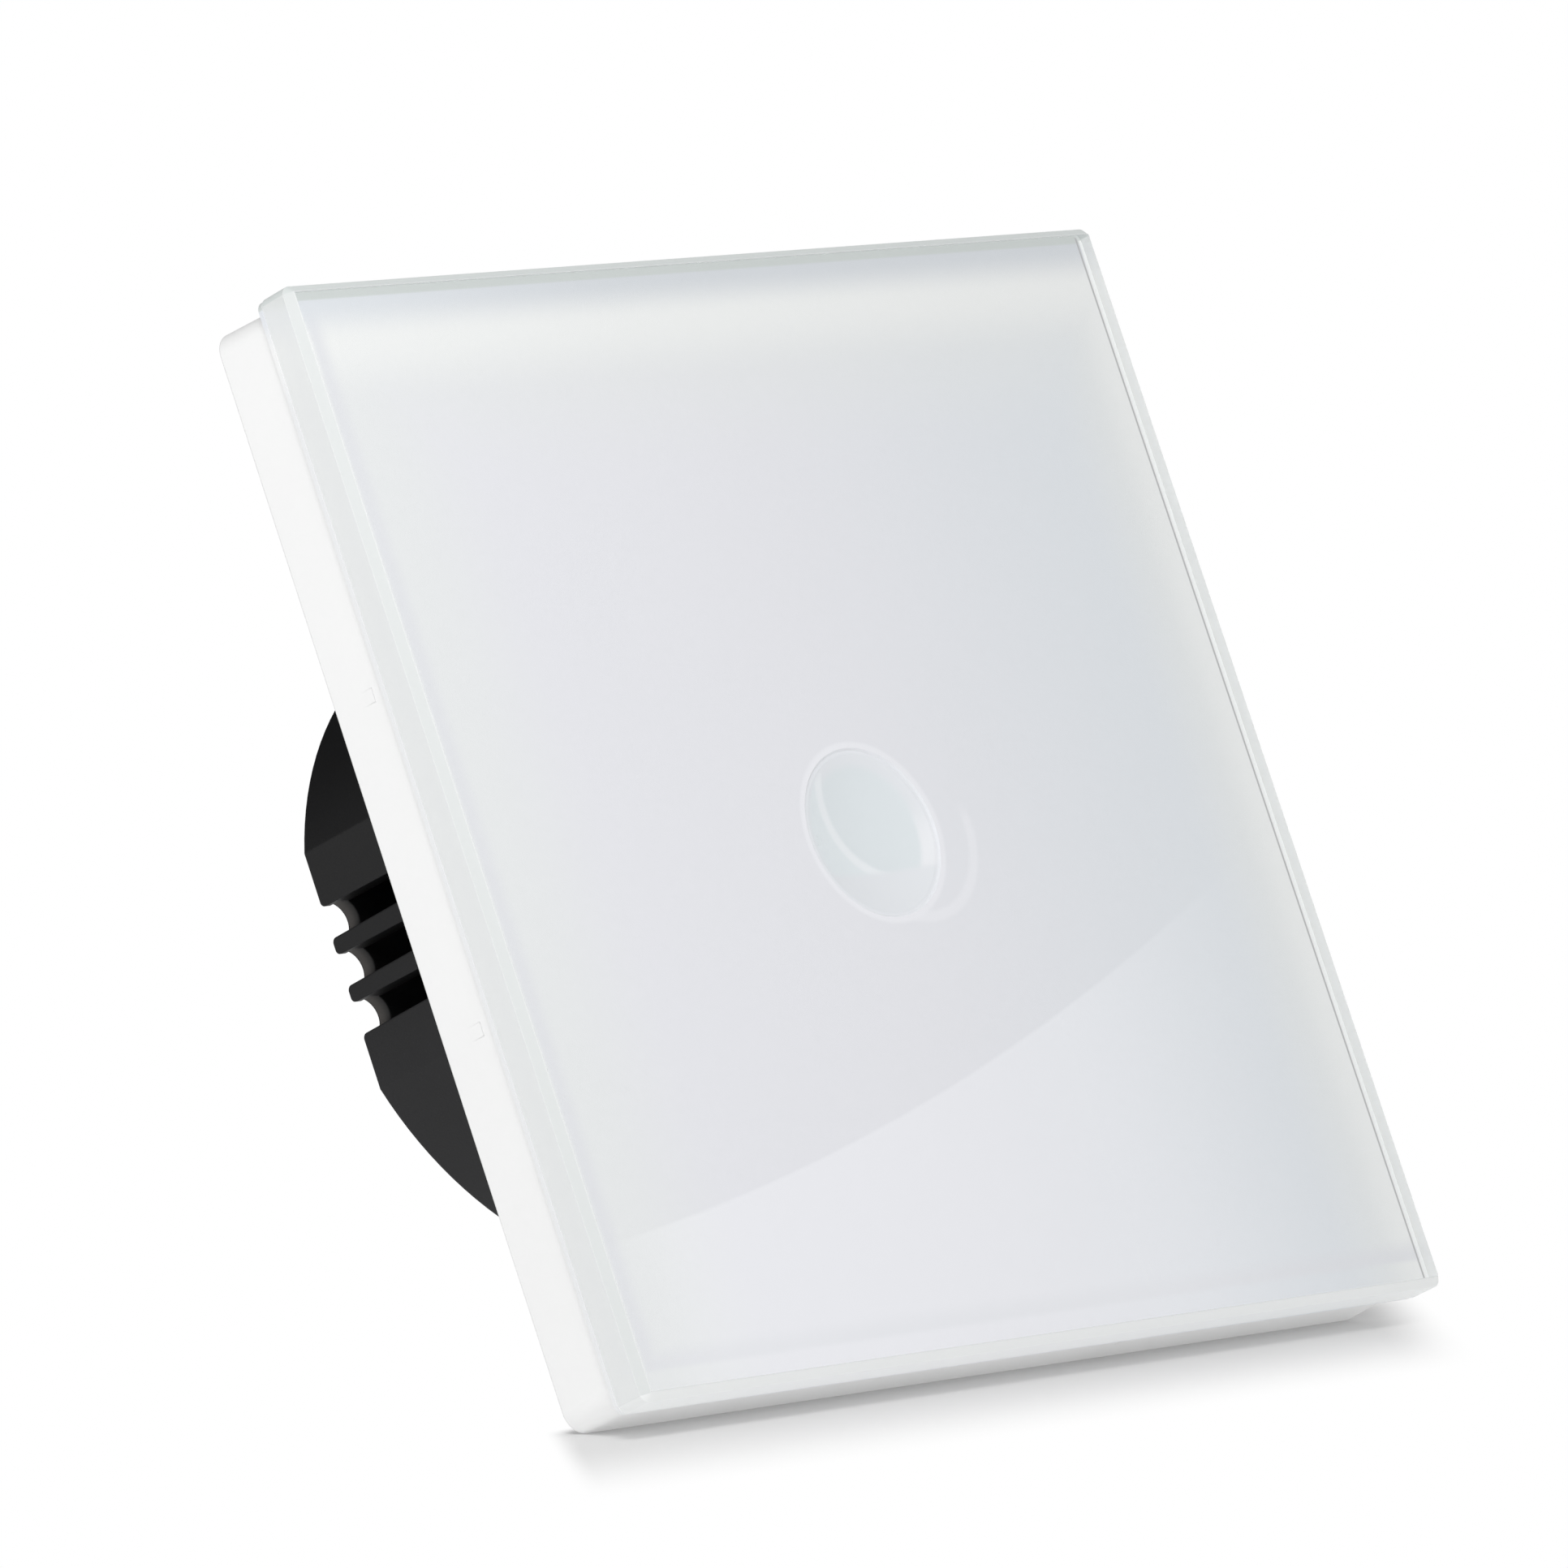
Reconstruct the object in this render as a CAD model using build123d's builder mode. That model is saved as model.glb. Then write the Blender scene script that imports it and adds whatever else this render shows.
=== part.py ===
from build123d import *
import os
from math import cos, radians, sin

os.makedirs("parts", exist_ok=True)

# A one-gang glass touch switch for a 60 mm round wall box.
# X runs to the right, Z up, the glass faces -Y and the wall is the plane Y = 0.
# The origin is the middle of the wall screws, on the wall plane.

# Driving dimensions, in millimetres
panel_size = 80.0         # square glass plate
glass_thickness = 3.0
frame_setback = 0.4       # edge of the glass to the frame, measured at the wall
frame_depth = 5.3         # back of the glass to the wall
frame_wall = 1.6
frame_face = 1.2          # front wall of the frame, behind the glass
plate_thickness = 1.2     # steel mounting plate
screw_spacing = 60.0      # wall box screws, centre to centre
housing_radius = 24.4     # round rear housing
flat_depth = 1.6          # how deep each side flat cuts into the round
housing_flat = housing_radius - flat_depth
housing_depth = 23.5      # wall to the rear face
housing_wall = 1.6
rear_wall = 1.2
housing_rise = 0.85       # housing axis above the middle of the plate
touch_height = -2.3       # middle of the touch dish, below the middle of the panel
touch_radius = 6.4
cover_size = 31.0         # square inner cover
cover_front = -2.9
board_rear = 7.6          # rear face of the power board, which carries the parts
board_thickness = 1.6
terminal_pitch = 6.4
terminal_count = 3

# Clearances shared by several pieces
loose_gap = 0.2           # between fixed pieces that are dropped together
running_gap = 0.05        # round a turning or sliding piece
screw_gap = 0.15          # round a screw shank in a clear hole
slide_gap = 0.1           # round a cage or a bar in the terminal block
overrun = 1.0             # how far a cut runs past a face
same_size = 0.01          # lengths closer than this count as equal


# Sketch plane that faces the viewer at a given depth: its X is X and its Y is Z,
# and an extrusion grows from it towards the viewer
def facing(depth):
    return Plane.XZ.offset(-depth)


# Round outline with a flat on each side, drawn in the current sketch
def housing_outline(inset):
    with Locations((0, housing_rise)):
        Circle(housing_radius - inset)
        Rectangle(2 * (housing_flat - inset), 2 * housing_radius, mode=Mode.INTERSECT)


def save(builder, name):
    builder.part.label = name
    export_step(builder.part, "parts/" + name + ".step")


# Glass plate, clear, with ground front edges and lightly broken back edges
glass_corner = 0.75
glass_chamfer = 0.6
glass_arris = 0.2
glass_back = -frame_depth

with BuildPart() as glass_panel:
    with BuildSketch(facing(glass_back)):
        RectangleRounded(panel_size, panel_size, glass_corner)
    extrude(amount=glass_thickness)
    chamfer(glass_panel.faces().sort_by(Axis.Y)[0].edges(), glass_chamfer)
    chamfer(glass_panel.faces().sort_by(Axis.Y)[-1].edges(), glass_arris)
save(glass_panel, "glass_panel")

# White backing sheet between the glass and the frame, open at the touch dish
sheet_thickness = 0.3
sheet_size = panel_size - 2 * glass_arris
sheet_back = glass_back + sheet_thickness

with BuildPart() as backing_sheet:
    with BuildSketch(facing(sheet_back)):
        RectangleRounded(sheet_size, sheet_size, glass_corner)
        with Locations((0, touch_height)):
            Circle(touch_radius, mode=Mode.SUBTRACT)
    extrude(amount=sheet_thickness)
save(backing_sheet, "backing_sheet")

# Milky touch lens: a dished disc in the frame, with a flange behind the front wall
lens_gap = 0.1
lens_radius = touch_radius - lens_gap
lens_lip = 0.5            # flat ring round the dish
dish_radius = lens_radius - lens_lip
dish_depth = 0.9
lens_flange = 1.3
flange_depth = 0.5
face_back = sheet_back + frame_face
lens_front = sheet_back - sheet_thickness / 2
lens_back = face_back + flange_depth
dish_sphere = (dish_radius**2 + dish_depth**2) / (2 * dish_depth)

with BuildPart() as touch_lens:
    with BuildSketch(facing(face_back)):
        with Locations((0, touch_height)):
            Circle(lens_radius)
    extrude(amount=face_back - lens_front)
    with BuildSketch(facing(lens_back)):
        with Locations((0, touch_height)):
            Circle(lens_radius + lens_flange)
    extrude(amount=flange_depth)
    with Locations((0, lens_front + dish_depth - dish_sphere, touch_height)):
        Sphere(dish_sphere, mode=Mode.SUBTRACT)
save(touch_lens, "touch_lens")

# Mounting plate: steel stamping with slotted screw holes and four bent catch tabs,
# as large as the frame leaves room for beside its catch arms
frame_size = panel_size - 2 * frame_setback
frame_draft = 0.15        # the frame narrows by this on each side towards the glass
arm_thickness = 1.1       # catch arms of the frame
arm_gap = 0.45            # between an arm and the tab it springs over
arm_room = 0.8            # between an arm and the wall of the frame
plate_size = frame_size - 2 * (frame_wall + frame_draft + arm_thickness + arm_gap + arm_room)
plate_corner = 4.0
cover_gap = loose_gap
cover_corner = 3.0
slot_width = 4.2
slot_length = 7.5
tab_height = 3.0          # wall to the tip of a tab
tab_width = 12.0
tab_inset = 15.5          # edge of the plate to the middle of a tab
tab_place = plate_size / 2 - tab_inset
relief_width = 1.0
relief_depth = 2.4
bend_radius = 1.2
window_width = 9.0
window_height = 1.1
window_depth = 1.95       # wall to the middle of a window
head_radius = 1.9         # heads of the housing screws
head_room = 1.2           # between a head and the inner cover
boss_x = cover_size / 2 + head_room + head_radius
boss_z = 10.5
boss_places = [(sx * boss_x, housing_rise + sz * boss_z) for sx in (-1, 1) for sz in (-1, 1)]
thread_radius = 1.0
through_radius = thread_radius + screw_gap
tab_corners = [(sx, sz) for sx in (-1, 1) for sz in (-1, 1)]

with BuildPart() as mounting_plate:
    with BuildSketch(facing(0)):
        RectangleRounded(plate_size, plate_size, plate_corner)
        RectangleRounded(cover_size + 2 * cover_gap, cover_size + 2 * cover_gap,
                         cover_corner + cover_gap, mode=Mode.SUBTRACT)
        with Locations((-screw_spacing / 2, 0), (screw_spacing / 2, 0)):
            SlotOverall(slot_length, slot_width, mode=Mode.SUBTRACT)
        with Locations((0, -screw_spacing / 2), (0, screw_spacing / 2)):
            SlotOverall(slot_length, slot_width, rotation=90, mode=Mode.SUBTRACT)
        with Locations(*boss_places):
            Circle(through_radius, mode=Mode.SUBTRACT)
        for sx, sz in tab_corners:
            for side in (-1, 1):
                notch_z = sz * tab_place + side * (tab_width + relief_width) / 2
                with Locations((sx * (plate_size - relief_depth) / 2, notch_z)):
                    Rectangle(relief_depth, relief_width, mode=Mode.SUBTRACT)
    extrude(amount=plate_thickness)
    with BuildSketch(facing(-plate_thickness)):
        for sx, sz in tab_corners:
            with Locations((sx * (plate_size - plate_thickness) / 2, sz * tab_place)):
                Rectangle(plate_thickness, tab_width)
    extrude(amount=tab_height - plate_thickness)
    tab_bends = mounting_plate.edges().filter_by(Axis.Z).filter_by(
        lambda edge: abs(edge.length - tab_width) < same_size and abs(edge.center().Y) < same_size)
    fillet(tab_bends, bend_radius)
    with BuildSketch(Plane.YZ):
        with Locations((-window_depth, -tab_place), (-window_depth, tab_place)):
            Rectangle(window_height, window_width)
    extrude(amount=plate_size, both=True, mode=Mode.SUBTRACT)
save(mounting_plate, "mounting_plate")

# Panel frame: white moulding, open at the wall, that carries the glass
frame_corner = 1.6
frame_inside = frame_size - 2 * (frame_wall + frame_draft)
rib_thickness = 1.0
rib_ring = 44.0
rib_gap = 0.4             # ribs stop this far short of the plate
rib_place = 12.0
post_radius = 1.6
post_inset = 7.5          # edge of the plate to the middle of a post
post_place = plate_size / 2 - post_inset
arm_width = 8.0
arm_tip = 0.7            # wall to the tip of an arm
nose_height = 0.35
nose_width = 6.0
arm_inner = plate_size / 2 + arm_gap

with BuildPart() as panel_frame:
    with BuildSketch(facing(0)):
        RectangleRounded(frame_size, frame_size, frame_corner)
    with BuildSketch(facing(sheet_back)):
        RectangleRounded(frame_size - 2 * frame_draft, frame_size - 2 * frame_draft, frame_corner)
    loft()
    with BuildSketch(facing(0)):
        RectangleRounded(frame_inside, frame_inside, frame_corner)
    extrude(amount=-face_back, mode=Mode.SUBTRACT)
    # ribs behind the front wall: a square ring and short struts out to the sides
    with BuildSketch(facing(face_back)):
        RectangleRounded(rib_ring + rib_thickness, rib_ring + rib_thickness, frame_corner)
        RectangleRounded(rib_ring - rib_thickness, rib_ring - rib_thickness, frame_corner,
                         mode=Mode.SUBTRACT)
        strut = (frame_size - rib_ring) / 2 - frame_draft
        reach = (frame_size + rib_ring) / 4
        with Locations((-reach, -rib_place), (-reach, rib_place), (reach, -rib_place), (reach, rib_place)):
            Rectangle(strut, rib_thickness)
        with Locations((-rib_place, -reach), (-rib_place, reach), (rib_place, -reach), (rib_place, reach)):
            Rectangle(rib_thickness, strut)
    extrude(amount=face_back + plate_thickness + rib_gap)
    # posts that rest on the mounting plate
    with BuildSketch(facing(-plate_thickness)):
        with GridLocations(2 * post_place, 2 * post_place, 2, 2):
            Circle(post_radius)
    extrude(amount=-plate_thickness - face_back)
    # four catch arms with a ramped nose opposite each window of the plate
    with BuildSketch(facing(-arm_tip)):
        for sx, sz in tab_corners:
            with Locations((sx * (arm_inner + arm_thickness / 2), sz * tab_place)):
                Rectangle(arm_thickness, arm_width)
    extrude(amount=-arm_tip - face_back)
    for sz in (-1, 1):
        with BuildSketch(Plane.XY.offset(sz * tab_place - nose_width / 2)):
            for sx in (-1, 1):
                with BuildLine():
                    Polyline((sx * arm_inner, -arm_tip),
                             (sx * (arm_inner - nose_height), -window_depth + window_height / 4),
                             (sx * (arm_inner - nose_height), -window_depth - window_height / 4),
                             (sx * arm_inner, -window_depth - window_height), close=True)
                make_face()
        extrude(amount=nose_width)
    # hole for the touch lens
    with BuildSketch(facing(face_back)):
        with Locations((0, touch_height)):
            Circle(lens_radius + lens_gap)
    extrude(amount=frame_face + overrun, mode=Mode.SUBTRACT)
save(panel_frame, "panel_frame")

# Rear housing: round black shell with flats, slots for cooling, bosses and board rests
slot_count = 3
slot_pitch = 3.52
slot_mouth = 2.3          # slot width at the rear face
slot_throat = 2.0         # slot width at its blind end
slot_run = 15.0
slot_corner = 0.4
notch_radius = 1.5        # half-round notch in the rear wall, behind each slot
notch_inset = 0.5         # flat to the axis of a notch
flange_thickness = 1.0
boss_radius = 2.2
fin_width = 1.4
fin_length = 2.6
fin_angles = (60, 120, 232, 308)
entry_radius = 1.9        # wire entries
screw_well = 2.5         # access holes over the terminal screws
board_front = board_rear - board_thickness
rear_inside = housing_depth - rear_wall
bore = housing_radius - housing_wall
slot_places = [(k - (slot_count - 1) / 2) * slot_pitch for k in range(slot_count)]
terminal_places = [(k - (terminal_count - 1) / 2) * terminal_pitch for k in range(terminal_count)]
screw_height = -15.4      # terminal screws, below the middle of the plate

# Terminals, stacked from the power board to the rear wall: an open cage, the room that
# it travels, the shoulder that holds the screw, and the screw's head. The clamp opens as
# far as the depth allows.
rear_room = rear_inside - board_rear
cage_stand = 2.5          # board to the floor of an open cage
cage_floor = 0.9
bar_thickness = 0.8
bar_room = 1.0            # between a contact bar and the far side of an open cage
clamp_bite = 0.4          # left between cage and bar when a screw is fully down
head_shoulder = 0.7
terminal_head_height = 1.3
head_inset = 0.5          # screw head to the rear wall
clamp_opening = (rear_room - cage_stand - 2 * cage_floor - bar_thickness - bar_room + clamp_bite
                 - slide_gap - head_shoulder - terminal_head_height - head_inset) / 2
cage_travel = clamp_opening - clamp_bite
cage_height = 2 * cage_floor + clamp_opening + bar_thickness + bar_room
cage_front = board_rear + cage_stand
bar_front = cage_front + cage_floor + clamp_opening
wire_depth = bar_front - clamp_opening / 2


# Half of one slot, in the plane of the flat: X is the depth and Y the height
def slot_half(side, middle):
    mouth = side * slot_mouth / 2
    throat = side * slot_throat / 2
    blind = housing_depth - slot_run
    with BuildLine() as outline:
        Polyline((blind, middle), (blind, middle + throat),
                 (housing_depth - slot_corner, middle + mouth))
        ThreePointArc((housing_depth - slot_corner, middle + mouth),
                      (housing_depth - slot_corner * (1 - sin(radians(45))),
                       middle + mouth + side * slot_corner * (1 - cos(radians(45)))),
                      (housing_depth, middle + mouth + side * slot_corner))
        Polyline((housing_depth, middle + mouth + side * slot_corner),
                 (housing_depth + overrun, middle + mouth + side * slot_corner),
                 (housing_depth + overrun, middle), (blind, middle))
    return outline.edges()


with BuildPart() as rear_housing:
    with BuildSketch(facing(housing_depth)):
        housing_outline(0)
    extrude(amount=housing_depth)
    with BuildSketch(facing(rear_inside)):
        housing_outline(housing_wall)
    extrude(amount=rear_inside, mode=Mode.SUBTRACT)
    # screw bosses, up to the flange of the inner cover
    with BuildSketch(facing(rear_inside)):
        with Locations(*boss_places):
            Circle(boss_radius)
        with Locations((0, housing_rise)):
            Rectangle(2 * housing_flat, 2 * housing_radius, mode=Mode.INTERSECT)
    extrude(amount=rear_inside - flange_thickness)
    # fins that carry the power board at its edge
    with BuildSketch(facing(rear_inside)):
        with Locations((0, housing_rise)):
            for angle in fin_angles:
                with PolarLocations(bore - fin_length / 2 + running_gap, 1, start_angle=angle):
                    Rectangle(fin_length, fin_width)
    extrude(amount=rear_inside - board_rear)
    # slots through the side walls, then through the edge of the rear wall
    for sx in (-1, 1):
        for middle in slot_places:
            for side in (-1, 1):
                with BuildSketch(Plane.YZ.offset(sx * (housing_flat - housing_wall))):
                    make_face(slot_half(side, housing_rise + middle))
                    with Locations((rear_inside + slot_run, housing_rise + middle)):
                        Rectangle(2 * slot_run, 2 * slot_mouth, mode=Mode.SUBTRACT)
                extrude(amount=sx * (housing_wall + overrun), mode=Mode.SUBTRACT)
                with BuildSketch(Plane.YZ.offset(sx * (housing_flat - notch_inset))):
                    make_face(slot_half(side, housing_rise + middle))
                extrude(amount=sx * (notch_inset + overrun), mode=Mode.SUBTRACT)
        with BuildSketch(facing(housing_depth)):
            with Locations(*[(sx * (housing_flat - notch_inset), housing_rise + middle)
                             for middle in slot_places]):
                Circle(notch_radius)
            with Locations((sx * (housing_flat + notch_radius - notch_inset), housing_rise)):
                Rectangle(2 * notch_radius, 2 * slot_count * slot_pitch, mode=Mode.SUBTRACT)
        extrude(amount=rear_wall, mode=Mode.SUBTRACT)
    # threaded holes for the housing screws
    with BuildSketch(facing(rear_inside)):
        with Locations(*boss_places):
            Circle(thread_radius + running_gap)
    extrude(amount=rear_inside, mode=Mode.SUBTRACT)
    # access to the terminal screws from behind
    with BuildSketch(facing(rear_inside)):
        with Locations(*[(place, screw_height) for place in terminal_places]):
            Circle(screw_well)
    extrude(amount=-rear_wall - overrun, mode=Mode.SUBTRACT)
    # wire entries from below
    entry_plane = Plane.XY.offset(housing_rise - housing_radius - overrun)
    with BuildSketch(entry_plane):
        with Locations(*[(place, wire_depth) for place in terminal_places]):
            Circle(entry_radius)
    extrude(amount=2 * housing_wall + 2 * overrun, mode=Mode.SUBTRACT)
save(rear_housing, "rear_housing")

# Inner cover: holds the touch board in the opening of the plate, its flange lies
# between the plate and the housing
cover_wall = 1.2
cover_face = 1.0
window_radius = 2.6       # light window in front of the lamps
foam_height = 1.0         # gap in front of the touch board, filled by the foam ring
touch_front = cover_front + cover_face + foam_height
touch_thickness = 1.0
touch_back = touch_front + touch_thickness
pocket_size = cover_size - 2 * cover_wall
peg_inset = 2.9           # side of the pocket to the middle of a peg
peg_place = pocket_size / 2 - peg_inset
peg_post = 1.4
peg_radius = 0.7
pillar_radius = 1.4
pillar_inset = 3.9        # bore to the middle of a pillar
pillar_place = bore - pillar_inset

with BuildPart() as inner_cover:
    with BuildSketch(facing(flange_thickness)):
        housing_outline(housing_wall + loose_gap)
    extrude(amount=flange_thickness)
    with BuildSketch(facing(0)):
        RectangleRounded(cover_size, cover_size, cover_corner)
    extrude(amount=-cover_front)
    chamfer(inner_cover.faces().sort_by(Axis.Y)[0].edges(), cover_face / 2)
    with BuildSketch(facing(flange_thickness)):
        RectangleRounded(pocket_size, pocket_size, cover_corner - cover_wall)
    extrude(amount=flange_thickness - cover_front - cover_face, mode=Mode.SUBTRACT)
    # posts and pegs for the touch board
    with BuildSketch(facing(touch_front)):
        with GridLocations(2 * peg_place, 2 * peg_place, 2, 2):
            Circle(peg_post)
    extrude(amount=touch_front - cover_front - cover_face)
    with BuildSketch(facing(touch_back + peg_radius)):
        with GridLocations(2 * peg_place, 2 * peg_place, 2, 2):
            Circle(peg_radius)
    extrude(amount=touch_thickness + peg_radius)
    # pillars that hold the power board down on its fins
    with BuildSketch(facing(board_front)):
        with Locations((0, housing_rise)):
            with PolarLocations(pillar_place, 4):
                Circle(pillar_radius)
    extrude(amount=board_front - flange_thickness)
    with BuildSketch(facing(flange_thickness)):
        with Locations(*boss_places):
            Circle(through_radius)
    extrude(amount=flange_thickness, mode=Mode.SUBTRACT)
    with BuildSketch(facing(flange_thickness)):
        with Locations((0, touch_height)):
            Circle(window_radius)
    extrude(amount=flange_thickness - cover_front + overrun, mode=Mode.SUBTRACT)
save(inner_cover, "inner_cover")

# Housing screws: four pan heads through the plate and the cover into the bosses
head_height = 1.2
screw_length = 8.0
recess_width = 0.5
recess_depth = 0.7
recess_length = 2.2

with BuildPart() as housing_screws:
    with BuildSketch(facing(-plate_thickness)):
        with Locations(*boss_places):
            Circle(head_radius)
    extrude(amount=head_height)
    chamfer(housing_screws.faces().sort_by(Axis.Y)[:len(boss_places)].edges(), head_height / 3)
    with BuildSketch(facing(screw_length - plate_thickness)):
        with Locations(*boss_places):
            Circle(thread_radius)
    extrude(amount=screw_length)
    with BuildSketch(facing(-plate_thickness - head_height + recess_depth)):
        with Locations(*boss_places):
            Rectangle(recess_length, recess_width)
            Rectangle(recess_width, recess_length)
    extrude(amount=recess_depth + overrun, mode=Mode.SUBTRACT)
save(housing_screws, "housing_screws")

# Touch board behind the face of the inner cover
touch_size = pocket_size - 2 * loose_gap
pin_count = 5
pin_pitch = 2.54
pin_side = 0.64
pin_inset = 5.1           # lower edge of the touch board to the row of pins
pin_height = pin_inset - touch_size / 2
pin_places = [((k - (pin_count - 1) / 2) * pin_pitch, pin_height) for k in range(pin_count)]
pin_gap = 0.08

with BuildPart() as touch_board:
    with BuildSketch(facing(touch_back)):
        RectangleRounded(touch_size, touch_size, cover_corner - cover_wall)
        with GridLocations(2 * peg_place, 2 * peg_place, 2, 2):
            Circle(peg_radius + running_gap, mode=Mode.SUBTRACT)
        with Locations(*pin_places):
            Rectangle(pin_side + 2 * pin_gap, pin_side + 2 * pin_gap, mode=Mode.SUBTRACT)
    extrude(amount=touch_thickness)
save(touch_board, "touch_board")

# Foam ring between the touch board and the cover: the sensing electrode
foam_outer = 6.0
foam_inner = 3.2

with BuildPart() as touch_foam:
    with BuildSketch(facing(touch_front)):
        with Locations((0, touch_height)):
            Circle(foam_outer)
            Circle(foam_inner, mode=Mode.SUBTRACT)
    extrude(amount=foam_height)
save(touch_foam, "touch_foam")

# Two indicator lamps in the middle of the ring
lamp_length = 1.6
lamp_width = 0.8
lamp_height = 0.7
lamp_place = 1.1

with BuildPart() as indicator_lamps:
    with BuildSketch(facing(touch_front)):
        with Locations((-lamp_place, touch_height), (lamp_place, touch_height)):
            Rectangle(lamp_width, lamp_length)
    extrude(amount=lamp_height)
    chamfer(indicator_lamps.faces().sort_by(Axis.Y)[:2].edges(), lamp_height / 4)
save(indicator_lamps, "indicator_lamps")

# Touch controller chip on the back of the touch board, with its legs
chip_length = 6.2
chip_width = 3.9
chip_height = 1.3
chip_stand = 0.1          # legs hold the body this far off the board
leg_count = 7
leg_pitch = 0.8
leg_width = 0.3
leg_reach = 1.0
leg_thickness = 0.2

with BuildPart() as touch_chip:
    with BuildSketch(facing(touch_back + chip_stand + chip_height)):
        Rectangle(chip_length, chip_width)
    extrude(amount=chip_height)
    chamfer(touch_chip.edges().filter_by(Axis.Y), chip_height / 6)
    with BuildSketch(facing(touch_back + leg_thickness)):
        with GridLocations(leg_pitch, chip_width + leg_reach, leg_count, 2):
            Rectangle(leg_width, leg_reach)
    extrude(amount=leg_thickness)
    with BuildSketch(facing(touch_back + chip_height / 2)):
        with GridLocations(leg_pitch, chip_width + leg_thickness, leg_count, 2):
            Rectangle(leg_width, leg_thickness)
    extrude(amount=chip_height / 2)
save(touch_chip, "touch_chip")

# Pin header on the touch board and its socket on the power board
strip_width = 2.5
strip_height = 2.5
socket_height = 2.8
pin_stub = 0.6            # pins stand this far out in front of the touch board
pin_tip = board_front - pin_stub

with BuildPart() as header_strip:
    with BuildSketch(facing(touch_back + strip_height)):
        with Locations((0, pin_height)):
            Rectangle(pin_count * pin_pitch, strip_width)
        with Locations(*pin_places):
            Rectangle(pin_side + 2 * pin_gap, pin_side + 2 * pin_gap, mode=Mode.SUBTRACT)
    extrude(amount=strip_height)
    chamfer(header_strip.edges().filter_by(Axis.Y).group_by(Axis.X)[0], strip_width / 8)
save(header_strip, "header_strip")

with BuildPart() as header_pins:
    with BuildSketch(facing(pin_tip)):
        with Locations(*pin_places):
            Rectangle(pin_side, pin_side)
    extrude(amount=pin_tip - touch_front + pin_stub)
    chamfer(header_pins.faces().sort_by(Axis.Y)[-pin_count:].edges(), pin_side / 4)
save(header_pins, "header_pins")

with BuildPart() as header_socket:
    with BuildSketch(facing(board_front)):
        with Locations((0, pin_height)):
            Rectangle(pin_count * pin_pitch, strip_width)
        with Locations(*pin_places):
            Rectangle(pin_side + 2 * pin_gap, pin_side + 2 * pin_gap, mode=Mode.SUBTRACT)
    extrude(amount=socket_height)
save(header_socket, "header_socket")

# Power board: follows the bore, with notches for the screw bosses
board_gap = 0.5

with BuildPart() as power_board:
    with BuildSketch(facing(board_rear)):
        housing_outline(housing_wall + board_gap)
        with Locations(*boss_places):
            Circle(boss_radius + board_gap, mode=Mode.SUBTRACT)
    extrude(amount=board_thickness)
save(power_board, "power_board")

# Terminal block: moulded body that follows the bore, with a chamber for each pole
block_margin = 0.45
block_width = terminal_count * terminal_pitch + 2 * block_margin
block_top = -10.2
cage_width = 4.8          # across the pole
cage_length = 4.6         # along the wire
cage_side = 0.75
guide_radius = clamp_opening / 2 - slide_gap
bar_width = 2.8
bar_top = -11.4
bar_bottom = screw_height - cage_length / 2 + slide_gap
terminal_radius = 1.5     # thread of a terminal screw
terminal_head = 2.2
chamber_rear = cage_front + cage_height + cage_travel + slide_gap
head_seat = chamber_rear + head_shoulder

with BuildPart() as terminal_block:
    with BuildSketch(facing(rear_inside)):
        with Locations((0, housing_rise)):
            Circle(bore - loose_gap)
        with Locations((0, block_top - bore / 2)):
            Rectangle(block_width, bore, mode=Mode.INTERSECT)
    extrude(amount=rear_inside - board_rear)
    # chambers for the cages
    with BuildSketch(facing(chamber_rear)):
        with Locations(*[(place, screw_height) for place in terminal_places]):
            Rectangle(cage_width + 2 * slide_gap, cage_length + 2 * slide_gap)
    extrude(amount=chamber_rear - cage_front + slide_gap, mode=Mode.SUBTRACT)
    # wells for the screw heads, with a shoulder that keeps each screw in place
    with BuildSketch(facing(rear_inside)):
        with Locations(*[(place, screw_height) for place in terminal_places]):
            Circle(screw_well)
    extrude(amount=rear_inside - head_seat, mode=Mode.SUBTRACT)
    with BuildSketch(facing(rear_inside)):
        with Locations(*[(place, screw_height) for place in terminal_places]):
            Circle(terminal_radius + running_gap)
    extrude(amount=rear_inside - chamber_rear + overrun, mode=Mode.SUBTRACT)
    # slots for the contact bars, from the board to the chambers
    bar_slot = bar_top + slide_gap - bar_bottom
    with BuildSketch(facing(bar_front + bar_thickness + slide_gap)):
        with Locations(*[(place, bar_top + slide_gap - bar_slot / 2) for place in terminal_places]):
            Rectangle(bar_width + 2 * slide_gap, bar_slot)
    extrude(amount=bar_thickness + 2 * slide_gap, mode=Mode.SUBTRACT)
    with BuildSketch(facing(bar_front)):
        with Locations(*[(place, bar_top - bar_thickness / 2) for place in terminal_places]):
            Rectangle(bar_width + 2 * slide_gap, bar_thickness + 2 * slide_gap)
    extrude(amount=bar_front - board_rear, mode=Mode.SUBTRACT)
    # wire guides from below, a little narrower than an open clamp
    with BuildSketch(Plane.XY.offset(screw_height)):
        with Locations(*[(place, wire_depth) for place in terminal_places]):
            Circle(guide_radius)
    extrude(amount=-bore, mode=Mode.SUBTRACT)
save(terminal_block, "terminal_block")

# Contact bars: one bent strip for each pole, from the board into the cage
bar_rear = bar_front + bar_thickness

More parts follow.
